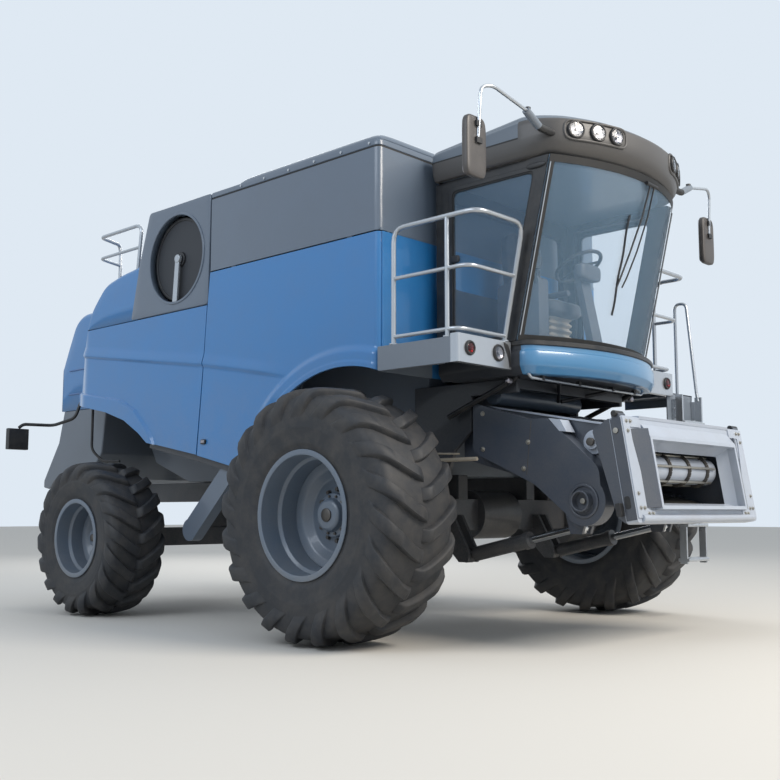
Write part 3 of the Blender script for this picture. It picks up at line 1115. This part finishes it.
# %% [markdown]
# The windshield is part of a cylinder that leans forward. For a height z and a distance y from the
# middle, its X is (centre + sqrt(r^2 - y^2)) / cos(lean) + (z - foot) * tan(lean). A black band is
# fired onto the real pane along its edges to hide the glue; here it is a thin strip just outside.


# %% Windshield
def pane(y, z, proud=0.0):
    """A point of the glass, or one that stands proud of it, for each y and z."""
    ahead = -0.5914 + np.sqrt((GLASS_R + proud) ** 2 - y**2)
    return np.stack([ahead / np.cos(LEAN) + (z - CAB_FLOOR) * np.tan(LEAN), y, z + 0 * y], -1)


def pane_patch(y0, y1, z0, z1, proud, n=48, m=12):
    """A stretch of the pane with its inner face: 4 mm under a strip, 10 mm in the glass itself."""
    y, z = np.meshgrid(np.linspace(y0, y1, n), np.linspace(z0, z1, m), indexing="ij")
    outer, inner = pane(y, z, proud), pane(y, z, proud - 0.004 if proud else -0.010)
    return grid(np.concatenate([outer, inner[:, ::-1]], 1), close_v=True, caps=True)


pane_half, band, low, high = 0.941, 0.004, 2.305, 3.585
glass = pane_patch(-pane_half, pane_half, 2.2604, 3.6396, 0.0, 64, 24)
piece("windshield_pane", {cab_glass: [glass]}, "body", "windshield", sharp=50)
border = [pane_patch(-pane_half, pane_half, z0, z1, band) for z0, z1 in ((2.2606, low), (high, 3.6394))]
border += [pane_patch(y0, y1, low, high, band, 6, 24) for y0, y1 in ((-0.9415, -0.905), (0.905, 0.9415))]
piece("windshield_border", {rubber_seal: border}, "body", sharp=50)
trim_z = np.linspace(2.30, 3.58, 12)
trim = [tube(pane(np.full(12, y), trim_z, 0.009), 0.005, sides=8) for y in (-0.936, 0.936)]
piece("post_trim_strips", {silver_enamel: trim}, "body")

# %% [markdown]
# The wiper is a pantograph: two thin arms that keep the blade upright as it sweeps. The blade is a
# rubber strip in a steel spine, and it lies on the glass, so its points come from the same formula.

# %% Wiper
first = pane(np.array([0.06, 0.02, -0.06, -0.13, -0.16]), np.array([3.56, 3.30, 3.02, 2.80, 2.72]), 0.030)
second = pane(np.array([0.12, 0.10, 0.03, -0.05, -0.09]), np.array([3.56, 3.32, 3.04, 2.82, 2.74]), 0.034)
blade = pane(np.full(14, -0.13) + 0.006 * np.sin(np.arange(14)), np.linspace(2.52, 3.30, 14), 0.014)
motor = pane(np.array([0.0, 0.18]), np.array([3.575, 3.575]), 0.028)
wiper = [tube(first, 0.0075, bend=0.02, sides=8), tube(second, 0.0065, bend=0.02, sides=8),
         tube(blade, 0.009, bend=0.01, sides=8), tube(motor, 0.016, sides=10)]
piece("wiper_arms", {black_plastic: wiper}, "body")

# %% [markdown]
# The roof is moulded: a rounded plan, a visor that overhangs the glass, and a top that rises to the
# front. The profile is carried round the plan, its inset is stronger at the front than at the
# sides, and its upper part is stretched to the height that the top has at that place.

# %% Roof plan and profile
roof_corners = [(0.262, 1.018), (1.40, 1.018), (1.645, 0.56), (1.738, 0.0), (1.645, -0.56), (1.40, -1.018),
                (0.262, -1.018)]
roof_reach = np.array([[0.06], [0.26], [0.3], [0.3], [0.3], [0.26], [0.06]])
roof_plan = soft(roof_corners, roof_reach, closed=True, steps=12)
front_share = ease((roof_plan[:, 0] - 1.0) / 0.45)
top_line = [(0.26, 3.89), (0.6, 3.945), (1.2, 3.988), (1.63, 3.978), (1.74, 3.965)]
visor_z, profile_top = 3.80, 3.978
roof_profile = [
    (0.30, 3.6404), (0.17, 3.6404), (0.13, 3.6404), (0.08, 3.645), (0.045, 3.665), (0.018, 3.70), (0.004, 3.75),
    (0.0, 3.79), (0.0, 3.803), (0.0, 3.885), (0.006, 3.905), (0.018, 3.918), (0.028, 3.922), (0.036, 3.926),
    (0.06, 3.95), (0.10, 3.968), (0.16, 3.976), (0.26, profile_top)]


def roof_top(x):
    return np.interp(x, *np.transpose(top_line))


print("roof plan:", len(roof_plan), "points")

# %% [markdown]
# The top closes towards a line along the roof's middle, not towards one point, so that it stays
# flat. The paint follows the rows: enamel above and below, visor plastic on the band between, and a
# dark joint line where the two meet. At the sides the band is lower than at the front.

# %% Roof
rows = []
for gap, z in roof_profile:
    stretch = (roof_top(roof_plan[:, 0]) - visor_z) / (profile_top - visor_z)
    lift = np.where(z > visor_z, visor_z + (z - visor_z) * stretch, z)
    rows.append(np.column_stack([inset(roof_plan, gap * (0.30 + 0.70 * front_share)), lift]))
middle_x = np.clip(roof_plan[:, 0], 0.55, 1.40)
middle = np.column_stack([middle_x, 0 * middle_x, roof_top(middle_x)])
under = np.column_stack([middle_x, 0 * middle_x, rows[0][:, 2]])
rows = [under, (rows[0] + under) / 2] + rows + [rows[-1] * (1 - t) + middle * t for t in (0.3, 0.6, 0.85, 1.0)]
points, quads = grid(rows, close_v=True)
station = np.repeat(np.arange(len(rows) - 1), len(roof_plan))
at_front = np.tile(front_share, len(rows) - 1) > 0.25
band_low, side_line, front_line, line_top = 3, 9, 13, 15
visor = (station >= band_low) & (station < np.where(at_front, front_line, side_line))
joint = (station >= front_line) & (station < line_top) & at_front | (station == side_line) & ~at_front
paint = np.where(joint, 2, np.where(visor, 1, 0)).tolist()
piece("roof_shell", {roof_enamel: [(points, quads, paint)], visor_plastic: [], rubber_seal: []}, "body", "cab_roof",
      sharp=40)

# %% [markdown]
# Each work lamp is a black ring, a mirror bowl and a clear lens, all turned on the same axis. The
# place and the direction of a roof lamp are read from the roof's own plan, at the point with the
# wanted Y, so that the lamp sits square on the visor however the corner is rounded.


# %% Lamps
def work_lamp(r, place, axis, proud=0.014):
    """Case, mirror parts and lens of one lamp, as three lists of parts."""
    ring = soft([(r + 0.010, -0.02), (r + 0.010, proud - 0.004), (r + 0.004, proud + 0.006),
                 (r - 0.006, proud + 0.004), (r - 0.008, proud - 0.010)], 0.003)
    bowl = [(r - 0.007, proud - 0.002), (r * 0.7, proud - 0.008), (r * 0.3, proud - 0.011), (0.0, proud - 0.012)]
    lens = [(0.0, proud + 0.006), (r * 0.5, proud + 0.005), (r - 0.008, proud), (r - 0.008, proud - 0.002),
            (0.0, proud + 0.002)]
    bulb = [(0.0, proud + 0.001), (0.012, proud), (0.014, proud - 0.011)]
    mirrors = [turned(bowl, 40, place, axis, close=False), turned(bulb, 16, place, axis, close=False)]
    return [turned(ring, 40, place, axis, close=False)], mirrors, [turned(lens, 40, place, axis)]


cases, mirrors, lenses = [], [], []
forward = roof_plan[:, 0] > 1.25
for y in (0.43, 0.61, 0.79):
    k = np.where(forward, np.abs(roof_plan[:, 1] - y), 9).argmin()
    way = roof_plan[(k + 1) % len(roof_plan)] - roof_plan[k - 1]
    normal = (abs(way[1]), abs(way[0]), 0.0)
    case, mirror, lens = work_lamp(0.062, (*roof_plan[k], 3.832), normal)
    cases, mirrors, lenses = cases + case, mirrors + mirror, lenses + lens
piece("roof_work_lamps", {black_plastic: both(cases), lamp_mirror: both(mirrors), lamp_glass: both(lenses)}, "body",
      "roof_lamps", sharp=40)

# %% [markdown]
# A mirror's shell is a rounded brick. The formula is a superellipsoid: a sphere's sine and cosine
# raised to a power below one, which fills the corners. It hangs from a thick arm at the roof's
# corner and a thin bent tube.


# %% Mirrors
def pillow(centre, half, e1=0.35, e2=0.35, n=28, m=40):
    """Superellipsoid: each of cos and sin keeps its sign and is raised to a power."""
    a, b = np.linspace(-np.pi / 2, np.pi / 2, n)[:, None], np.linspace(-np.pi, np.pi, m, endpoint=False)[None]
    power = lambda v, e: np.sign(v) * np.abs(v) ** e
    x = power(np.cos(a), e1) * power(np.cos(b), e2)
    y = power(np.cos(a), e1) * power(np.sin(b), e2)
    z = power(np.sin(a), e1) * np.ones_like(b)
    return grid(np.array(centre) + np.stack([x, y, z], -1) * half, close_v=True)


glass_edge = soft([(1.66, 3.30), (1.84, 3.30), (1.84, 3.70), (1.66, 3.70)], 0.03, closed=True)
root_arm = tube([(1.395, 0.88, 3.80), (1.395, 1.09, 3.80), (1.395, 1.12, 3.814)], 0.028, bend=0.02)
thick_arm = tube([(1.395, 1.10, 3.804), (1.395, 1.26, 3.883)], 0.030)
bent_arm = tube([(1.40, 1.23, 3.875), (1.38, 1.64, 3.96), (1.352, 1.735, 3.93), (1.33, 1.745, 3.55)], 0.0135,
                bend=0.07)
clamps = [box(1.318, 1.348, 1.715, 1.775, z, z + 0.04) for z in (3.52, 3.64)]
pivot = tube([(1.395, 1.235, 3.86), (1.395, 1.235, 3.91)], 0.022)
piece("mirror_sets", {
    mirror_plastic: both([pillow((1.30, 1.75, 3.50), (0.030, 0.11, 0.22))]),
    lamp_mirror: both([slab(glass_edge, 1.2675, 1.274, 0)]),
    black_plastic: both([root_arm, *clamps, pivot]),
    silver_enamel: both([bent_arm]),
    fascia_enamel: both([thick_arm])}, "body", "mirrors", sharp=35)

# %% [markdown]
# The platforms beside the cab are folded sheet with a lamp bar in front. The bar turns the corner
# with a radius, so it is drawn in plan, outer line out and inner line back, and carried up.
# Two sheets of the ladder's landing meet in one corner, and the bevel there depends on the order of
# the parts. So the parts stay in one list, in the order of assembly, each with its material number.

# %% Platforms
outer = soft([(0.93, 1.58), (1.005, 1.58), (1.005, 0.9503)], 0.022, steps=10)
inner = soft([(0.95, 0.9503), (0.95, 1.525), (0.93, 1.525)], 0.012, steps=10)
bar = slab(np.vstack([outer, inner]), 2.04, bar_top, 2)
apron = [(0.208, 2.05), (0.208, 2.229), (0.935, 2.229), (0.935, 2.04), (0.228, 2.04)]
deck = [box(0.208, 0.95, 0.9503, 1.568, 2.218, deck_top), slab(apron, 1.568, 1.58),
        box(0.208, 0.22, 0.9503, 1.57, 2.04, 2.229), box(0.208, 0.85, 1.54, 1.575, 2.04, 2.052)]
landing = [box(0.25, 0.97, 1.579, 2.0, 2.068, 2.08), box(0.25, 0.97, 1.988, 2.0, 1.99, 2.079),
           box(0.958, 0.97, 1.579, 2.0, 1.80, 2.079), box(0.958, 0.97, 1.52, 1.58, 1.80, 2.041)]
deck_ribs = [box(x, x + 0.02, 1.0, 1.5, 2.2295, 2.2345) for x in 0.23 + 0.046 * np.arange(15)]
landing_ribs = [box(x, x + 0.02, 1.60, 1.97, 2.0795, 2.0845) for x in 0.27 + 0.046 * np.arange(15)]
for word, side in sides.items():
    groups = [(1, [bar]), (0, deck), (2, deck_ribs)] + ([(0, landing), (2, landing_ribs)] if side > 0 else [])
    parts = [(*part, [number] * len(part[1])) for number, group in groups for part in on_side(group, side)]
    piece(f"platform_sheet_{word}", {fascia_enamel: parts, silver_enamel: [], dark_steel: []}, "body",
          f"platform_{word}", bevel=0.004, sharp=35)

# %% [markdown]
# Each bar carries a red marker and a clear work lamp, set on its front face, and a dark recess
# between the two that is drawn as a thin plate.

# %% Bar lamps
lamp_x, lamp_z = 1.005, 2.15
marker_case, marker_mirrors, marker_lens = work_lamp(0.046, (lamp_x, 1.45, lamp_z), X, 0.012)
work_case, work_mirrors, work_lens = work_lamp(0.055, (lamp_x, 1.11, lamp_z), X, 0.012)
recess = soft([(1.045, 2.243), (0.985, 2.225), (0.958, 2.16), (0.956, 2.06), (0.972, 2.05), (0.985, 2.12),
               (1.03, 2.2)], 0.012, closed=True)
piece("bar_work_lamps", {
    black_plastic: both(marker_case + work_case + [slab(recess, 1.003, 1.007, 0)]),
    lamp_mirror: both(marker_mirrors + work_mirrors),
    lamp_glass: both(work_lens), red_lens: both(marker_lens)}, "body", sharp=40)

# %% [markdown]
# The seat is padded: a cushion and a back that crown in the middle and pull in at the seams. Here
# each pad is a superellipsoid whose top is pressed along three sewn channels, and a subdivision
# finishes it; behind tinted glass that is as much as the eye can tell. Below it a rubber bellows
# hides the suspension, and its folds are a wave in the inset of a stacked outline.


# %% Seat
def pad(centre, half, lean=0.0, across=2, channels=(-0.12, 0.0, 0.12)):
    """A pillow less 7 mm times a bell curve along each channel, then turned back by the lean."""
    points, quads = pillow((0, 0, 0), half, 0.55, 0.45, 40, 72)
    groove = sum(np.exp(-(((points[:, 1] - c) / 0.010) ** 2)) for c in channels)
    points[:, across] -= 0.007 * groove * (points[:, across] > half[across] * 0.3)
    turn = np.array([[np.cos(lean), 0, np.sin(lean)], [0, 1, 0], [-np.sin(lean), 0, np.cos(lean)]])
    return points @ turn.T + centre, quads


cushion_pad = pad((0.67, 0, 2.66), (0.25, 0.26, 0.075))
back_pad = pad((0.432, 0, 3.04), (0.055, 0.24, 0.34), lean=-0.10, across=0)
cushion = piece("seat_cushion", {seat_cloth: [cushion_pad]}, "body", "seat", subdivide=1)
rest = piece("seat_back", {seat_cloth: [back_pad]}, "body", subdivide=1)
bellows_plan = soft([(0.49, -0.17), (0.85, -0.17), (0.85, 0.17), (0.49, 0.17)], 0.06, closed=True)
fold_count, fold_deep = 6, 0.014
share = np.linspace(0, 1, 49)
wave = fold_deep * (1 - np.cos(share * 2 * np.pi * fold_count))
bellows = stacked(bellows_plan, np.column_stack([wave, 2.262 + 0.325 * share]))
console = soft([(0.48, 2.2603), (0.90, 2.2603), (0.90, 2.86), (0.80, 2.90), (0.48, 2.84)], 0.03, closed=True)
lever = [tube([(0.84, -0.35, 2.86), (0.85, -0.35, 2.98)], 0.02),
         pillow((0.852, -0.35, 3.01), (0.03, 0.028, 0.05), 0.7, 0.7)]
armrest = tube([(0.42, 0.29, 2.86), (0.72, 0.29, 2.86)], 0.028)
piece("seat_base", {bellows_rubber: [bellows], console_plastic: [slab(console, -0.42, -0.28), armrest],
                    black_plastic: lever}, "body", bevel=0.006, sharp=50)

# %% [markdown]
# The steering wheel leans back by 28 degrees. Its rim is a circle turned about the wheel's own axis,
# and the three spokes end on that rim.

# %% Steering
hub_at = np.array([1.010, 0.0, 3.0])
wheel_axis, wheel_up = np.array([-0.4695, 0, 0.8829]), np.array([0.8829, 0, 0.4695])
rim_line = np.array([0.2, 0]) + around(16, 0.016)[:, ::-1]
boss = soft([(0.0, -0.06), (0.045, -0.06), (0.055, 0.012), (0.0, 0.018)], 0.01)
steer = [turned(rim_line, 64, hub_at, wheel_axis), turned(boss, 32, hub_at, wheel_axis)]
steer += [tube([hub_at, hub_at + 0.19 * (np.cos(turn) * Y + np.sin(turn) * wheel_up)], 0.011, sides=10)
          for turn in (0.6, 2.54, 4.71)]
column = soft([(1.13, 2.2603), (1.20, 2.2603), (1.05, 2.98), (1.0, 2.96)], 0.012, closed=True)
shroud = pillow((1.10, 0.0, 2.93), (0.05, 0.15, 0.07), 0.5, 0.5)
piece("steering_set", {black_plastic: steer, console_plastic: [slab(column, -0.07, 0.07), shroud]}, "body",
      "steering", bevel=0.004, sharp=50)

# %% [markdown]
# The drive covers on the feeder's sides are thick pressed shells. The outline has a straight top, a
# slant, and a round end about the lower shaft; a second, smaller step on it holds the bolts. Their
# inner faces stand 0.3 mm off the feeder's sides.

# %% Feeder covers
cover_in, cover_out = 0.6803, 0.8103
shaft, idler = (1.53, 0, 1.05), (1.56, 0, 1.48)
end_arc = np.linspace(np.radians(38), np.radians(-150), 26)
round_end = np.column_stack([shaft[0] + 0.18 * np.cos(end_arc), shaft[2] + 0.18 * np.sin(end_arc)])
top_run = soft([(0.52, 1.60), (0.52, 1.835), (1.06, 1.67), (1.23, 1.67), (1.66, 1.29), round_end[0]], 0.05)
low_run = soft([round_end[-1], (1.10, 1.18), (0.52, 1.44), (0.52, 1.60)], 0.05)
cover_line = np.vstack([top_run[1:-1], round_end, low_run[1:-1]])
boss = soft([(0.062, 0.8), (0.062, 0.866), (0.066, 0.8703), (0.075, 0.8703), (0.078, 0.866), (0.078, 0.80)], 0.004)
bead = soft([(0.10, 0.8), (0.105, 0.824), (0.125, 0.824), (0.13, 0.8)], 0.006)
shells = [slab(cover_line, cover_in, cover_out), turned(boss, 48, shaft), turned(bead, 48, shaft)]
bolts = [turned([(0.0, 0.80), (0.022, 0.80), (0.022, 0.826), (0.018, 0.83), (0.0, 0.83)], 24, shaft)]
for x, z in ((1.051, 1.497), (1.006, 1.298), (0.62, 1.74), (0.62, 1.46)):
    bolts += [disc(0.020, (x, 0.810, z), Y, 0.006, 20), disc(0.013, (x, 0.815, z), Y, 0.012, 6)]
seam = slab([(1.078, 1.66), (1.084, 1.66), (1.036, 1.25), (1.03, 1.25)], 0.809, 0.8125)
core = turned([(0.0, 0.69), (0.03, 0.69), (0.03, 0.765), (0.0, 0.768)], 24, idler)
wheel = soft([(0.012, 0.681), (0.012, 0.74), (0.055, 0.74), (0.058, 0.71), (0.09, 0.705), (0.09, 0.681)], 0.004)
bright = [slab([(1.24, 1.668), (1.345, 1.652), (1.40, 1.558), (1.335, 1.566)], 0.70, 0.8165),
          turned(wheel, 36, idler),
          slab([(0.50, 1.816), (1.80, 1.572), (1.80, 1.586), (0.50, 1.830)], 0.60, 0.70)]
piece("drive_covers", {cover_enamel: both(shells), dark_steel: both([seam, core]), worn_steel: both(bolts),
                       plate_enamel: both(bright)}, "feeder", "feeder_covers", bevel=0.008, sharp=35)
rounded_copy("feeder_house", 0.003)

# %% [markdown]
# The faceplate leans back by 9.2 degrees, so its parts are drawn upright in their own frame, where
# the first axis points forward from the plate and the third goes up it, and turned together. It is
# a heavy ring with a window, a second ring that stands out round the window, four funnel plates that
# lead the crop in, and a rounded lower lip.


# %% Faceplate
def on_face(parts):
    """Turns a frame at the foot by the lean: x = foot + a cos - c sin, z = foot + a sin + c cos."""
    lean = np.radians(9.2)
    turn = np.array([[np.cos(lean), 0, -np.sin(lean)], [0, 1, 0], [np.sin(lean), 0, np.cos(lean)]])
    return [(points @ turn.T + (2.04, 0, 0.90), faces) for points, faces in parts]


window = upright(0.65, 0.11, 0.58, 0.01)
heavy_ring = ring_slab(upright(0.94, 0.0, 0.75, 0.03), window, -0.09, 0.0, axis=0)
collar = ring_slab(upright(0.676, 0.084, 0.606, 0.012), upright(0.65, 0.11, 0.58, 0.006), -0.002, 0.06, axis=0)
wide, tight = upright(0.651, 0.109, 0.581, 0.006), upright(0.60, 0.15, 0.53, 0.006)
funnel = grid([np.insert(line, 0, a, axis=1) for line, a in ((wide, 0.055), (wide, 0.0), (tight, -0.086))],
              close_v=True)
hood_plate = slab([(0.057, 0.603), (0.057, 0.609), (0.002, 0.70), (-0.004, 0.70), (-0.004, 0.62)], -0.676, 0.676)
lip = tube([(0.0, -0.88, 0.03), (0.0, 0.88, 0.03)], 0.027, sides=20)
top_bar = slab([(-0.05, 0.735), (0.004, 0.735), (0.012, 0.757), (-0.045, 0.768)], -0.70, 0.70)
print("faceplate ring:", len(heavy_ring[0]), "points")

# %% [markdown]
# Both ends of the plate carry the same fittings: a bolted side plate, a sloping flank, a cheek that
# ties the plate to the feeder, and the hooks and pins that hold a header.

# %% Faceplate ends
side_plate = soft([(0.69, 0.032), (0.93, 0.032), (0.93, 0.742), (0.70, 0.742), (0.70, 0.67), (0.845, 0.67),
                   (0.845, 0.60), (0.75, 0.085), (0.69, 0.085)], 0.008, closed=True)
cheek = soft([(-0.089, 0.0), (-0.089, 0.75), (-0.24, 0.69), (-0.15, 0.06)], 0.02, closed=True)
hook = soft([(-0.07, 0.70), (-0.01, 0.70), (-0.01, 0.77), (-0.07, 0.77)], 0.01, closed=True)
flank = [(0.055, 0.676), (0.055, 0.680), (-0.005, 0.838), (-0.005, 0.80), (0.0, 0.676)]
liner = [(0.0, 0.735), (0.0, 0.02), (-0.085, 0.02), (-0.085, 0.735)]
dark_ends = [slab(flank, 0.10, 0.66, 2), slab(liner, 0.9395, 0.9425), slab(cheek, 0.916, 0.94),
             slab(hook, 0.85, 0.94)]
bolts = []
for y, c in ((0.885, 0.10), (0.835, 0.10), (0.785, 0.06), (0.735, 0.06), (0.885, 0.20), (0.835, 0.71), (0.885, 0.71),
             (0.885, 0.64)):
    bolts += [disc(0.015, (0.008, y, c), X, 0.004, 18), disc(0.010, (0.011, y, c), X, 0.010, 6)]
bolts.append(turned([(0.0, 0.94), (0.020, 0.94), (0.020, 0.952), (0.0, 0.954)], 20, (-0.05, 0, 0.65)))
slot = soft([(-0.075, 0.10), (-0.03, 0.10), (-0.03, 0.19), (-0.075, 0.19)], 0.02, closed=True)
pin = [(0.0, 0.85), (0.022, 0.85), (0.022, 0.956), (0.018, 0.96), (0.0, 0.96)]
latch = soft([(-0.13, 0.06), (-0.089, 0.06), (-0.089, 0.15), (-0.13, 0.15)], 0.008, closed=True)
black_ends = [slab(slot, 0.942, 0.9445), turned(pin, 28, (-0.04, 0, 0.77)), slab(latch, 0.916, 0.986)]
pale = [heavy_ring, collar, funnel, hood_plate, lip, top_bar] + both([slab(side_plate, -0.001, 0.009, 0)])
piece("header_face", {
    plate_enamel: on_face(pale), cover_enamel: on_face(both(dark_ends)), worn_steel: on_face(both(bolts)),
    black_plastic: on_face(both(black_ends))}, "feeder", "faceplate", bevel=0.004, sharp=35)

# %% [markdown]
# Inside the window turns the front drum of the feeder's chain. Four chains of short links run round
# it and carry steel slats across. All links of a chain are one small rod repeated at even angles.

# %% Feeder drum
drum_at = np.array([1.760, 0, 1.290])
barrel = soft([(0.025, -0.62), (0.100, -0.62), (0.104, -0.61), (0.104, 0.61), (0.100, 0.62), (0.025, 0.62)], 0.004)
shaft_line = [(0.0, -0.678), (0.025, -0.678), (0.025, 0.678), (0.0, 0.678)]
links = [turned(shaft_line, 32, drum_at)]
for y in (-0.45, -0.15, 0.15, 0.45):
    hoop = soft([(0.10, y - 0.014), (0.118, y - 0.014), (0.118, y + 0.014), (0.10, y + 0.014)], 0.003)
    links.append(turned(hoop, 72, drum_at))
    for x, z in around(20, 1.0):
        middle, half_link = drum_at + (0.119 * x, y, 0.119 * z), np.array([0.016 * z, 0, -0.016 * x])
        links.append(tube([middle - half_link, middle + half_link], 0.0085, sides=8))
slats = [tube([drum_at + (x, -0.56, z), drum_at + (x, 0.56, z)], 0.0105, sides=8)
         for x, z in around(6, 0.117, np.radians(20))]
piece("chain_drum", {plate_enamel: [turned(barrel, 72, drum_at)], worn_steel: slats, dark_steel: links}, "drum",
      "feeder_drum", sharp=40)

# %% [markdown]
# The visor carries its lamps in two shallow pods, each with a raised rim. The rim is a rounded
# rectangle drawn flat in Y and Z; its X is read from the roof's own plan, so it hugs the curve.

# %% Visor pods
front_half = np.array(sorted((y, x) for x, y in roof_plan if x > 1.2))
pod_corners = [(0.6, 3.905), (0.34, 3.905), (0.34, 3.755), (0.87, 3.755), (0.87, 3.905), (0.6, 3.905)]
pod = resample(soft(pod_corners, 0.06), 90)
pod_x = np.interp(pod[:, 0], *front_half.T) - 0.002
pod_rim = tube(np.column_stack([pod_x, pod]), 0.011, bend=0.001, sides=10)

# %% [markdown]
# Small parts finish the cab: grab pads at the posts, a lamp under each corner, the struts and the
# air pipe below the floor, and a display with its stalk, which shows through the glass.

# %% Small cab parts
black = both([
    pillow((1.262, 0.9535, 3.575), (0.085, 0.010, 0.022), 0.8, 0.8),
    pillow((0.47, 0.955, 2.98), (0.045, 0.012, 0.03), 0.5, 0.5),
    tube([(0.93, 0.90, 1.995), (0.93, 0.90, 1.965)], 0.012),
    tube([(0.99, 0.84, 2.0), (0.30, 0.84, 1.73)], 0.022, sides=12),
    tube([(1.05, 0.38, 1.985), (0.80, 0.02, 1.885)], 0.016, sides=12)])
black += [box(1.135, 1.165, y - 0.015, y + 0.015, 1.965, 2.003) for y in (-0.75, -0.25, 0.25, 0.6)]
black += [box(0.90, 0.925, -0.62, -0.42, 2.92, 3.06), tube([(0.91, -0.52, 2.94), (0.86, -0.40, 2.80)], 0.012)]
air_pipe = tube([(1.15, -0.93, 2.0), (1.15, -0.90, 1.972), (1.15, 0.72, 1.972), (1.15, 0.75, 2.0)], 0.011, bend=0.03)
corner_lamp = pillow((0.945, 0.90, 1.965), (0.022, 0.030, 0.024), 0.7, 0.7)
piece("visor_pods", {visor_plastic: both([pod_rim]), black_plastic: black, silver_enamel: [air_pipe],
                     lamp_mirror: both([corner_lamp])}, "body", sharp=40)

# %% [markdown]
# Small body parts fill what the big sheets leave open: a fixed deck behind the tank's lids, louvres
# over the engine, a dark sill under the side sheets, side marker lamps, a duct under the cab, and
# the pipes beside the feeder and at the tail.

# %% Fillers, louvres and sills
sill = [(-2.87, 1.66), (-2.094, 1.52), (-1.50, 1.37), (-1.50, 1.29), (-2.09, 1.425), (-2.89, 1.585)]
tail_pipe = [(-4.15, 1.38, 2.15), (-4.15, 1.38, 1.62), (-4.05, 1.30, 1.50), (-3.86, 1.22, 1.50)]
feeder_pipe = tube([(0.10, 0.86, 1.20), (0.10, 0.86, 1.385), (0.60, 0.86, 1.385)], 0.016, bend=0.06)
thin_pipe = tube([(-0.05, 0.86, 1.45), (0.42, 0.86, 1.43)], 0.008, sides=8)
duct = soft([(0.0, -0.59), (0.078, -0.59), (0.082, -0.57), (0.082, 0.57), (0.078, 0.59), (0.0, 0.59)], 0.006)
deck = [turned(duct, 48, (0.56, 0, 1.912)), box(-1.925, -1.61, -1.53, 1.53, 3.872, 3.886)]
deck += [box(-1.905, -1.63, y, y + 0.02, 3.885, 3.893) for y in np.linspace(-1.35, 1.33, 9)]
louvres = []
for x in np.linspace(-3.20, -3.62, 12):
    z = np.interp(-x, -hood_line[:, 0], hood_line[:, 1])
    blade = [(x - 0.017, z - 0.006), (x - 0.017, z + 0.008), (x + 0.013, z + 0.001), (x + 0.013, z - 0.006)]
    louvres += [slab(blade, y, y + 0.72) for y in (-1.1, -0.36, 0.38)]
piece("body_fillers", {
    chassis_enamel: both([slab(sill, 1.49, 1.515)]), black_plastic: both([tube(tail_pipe, 0.014, bend=0.06)]),
    slate_enamel: deck, deep_blue_enamel: louvres, bellows_rubber: both([feeder_pipe, thin_pipe])}, "body",
    bevel=0.002, sharp=40)
marker_case = pillow((-1.974, 1.566, 1.60), (0.034, 0.010, 0.022), 0.4, 0.4)
marker_glass = pillow((-1.974, 1.574, 1.60), (0.024, 0.006, 0.014), 0.4, 0.4)
for word, side in sides.items():
    marker = {black_plastic: on_side([marker_case], side), lamp_mirror: on_side([marker_glass], side)}
    piece(f"side_marker_{word}", marker, f"panel_front_{word}", sharp=40)

# %% [markdown]
# The feeder's floor is steel that the crop keeps bright. It lies on the bottom of the tunnel.

# %% Feeder floor
bed = slab([(0.60, 1.3427), (1.93, 0.9755), (1.93, 0.9795), (0.60, 1.3467)], -0.655, 0.655)
piece("feeder_floor", {worn_steel: [bed]}, "feeder")

# %% [markdown]
# The unloading auger is a spiral inside a pipe. What shows outside are the flanges where its lengths
# are bolted together, the rubber skirt of the spout, and the saddle that it rests on when folded.

# %% Auger fittings
auger_y, auger_z, bolt_circle, spout_x, turret_x = 1.80, 3.625, 0.162, -5.14, -0.60
flanges, bolts = [], []
for x in (-1.00, -2.90, -4.86):
    flanges.append(disc(0.170, (x, auger_y, auger_z), X, 0.018, 48))
    bolts += [disc(0.008, (x + 0.012, auger_y + y, auger_z + z), X, 0.012, 6) for z, y in around(12, bolt_circle)]
flanges += [disc(0.168, (turret_x, auger_y, z), Z, 0.014, 48) for z in (3.605, 3.768)]
skirt_line = soft([(0.150, 3.277), (0.160, 3.277), (0.162, 3.42), (0.150, 3.42)], 0.004)
spout_skirt = turned(skirt_line, 48, (spout_x, auger_y, 0), Z)
piece("auger_fittings", {deep_blue_enamel: flanges, rubber_seal: [spout_skirt], worn_steel: bolts}, "auger",
      sharp=40)
saddle = [(1.555, 3.36), (1.66, 3.36), (1.92, 3.49), (1.92, 3.52), (1.90, 3.52), (1.80, 3.462), (1.70, 3.50),
          (1.66, 3.47), (1.555, 3.44)]
piece("auger_saddle", {chassis_enamel: [slab(saddle, -2.68, -2.64, 0)]}, "body", bevel=0.003)
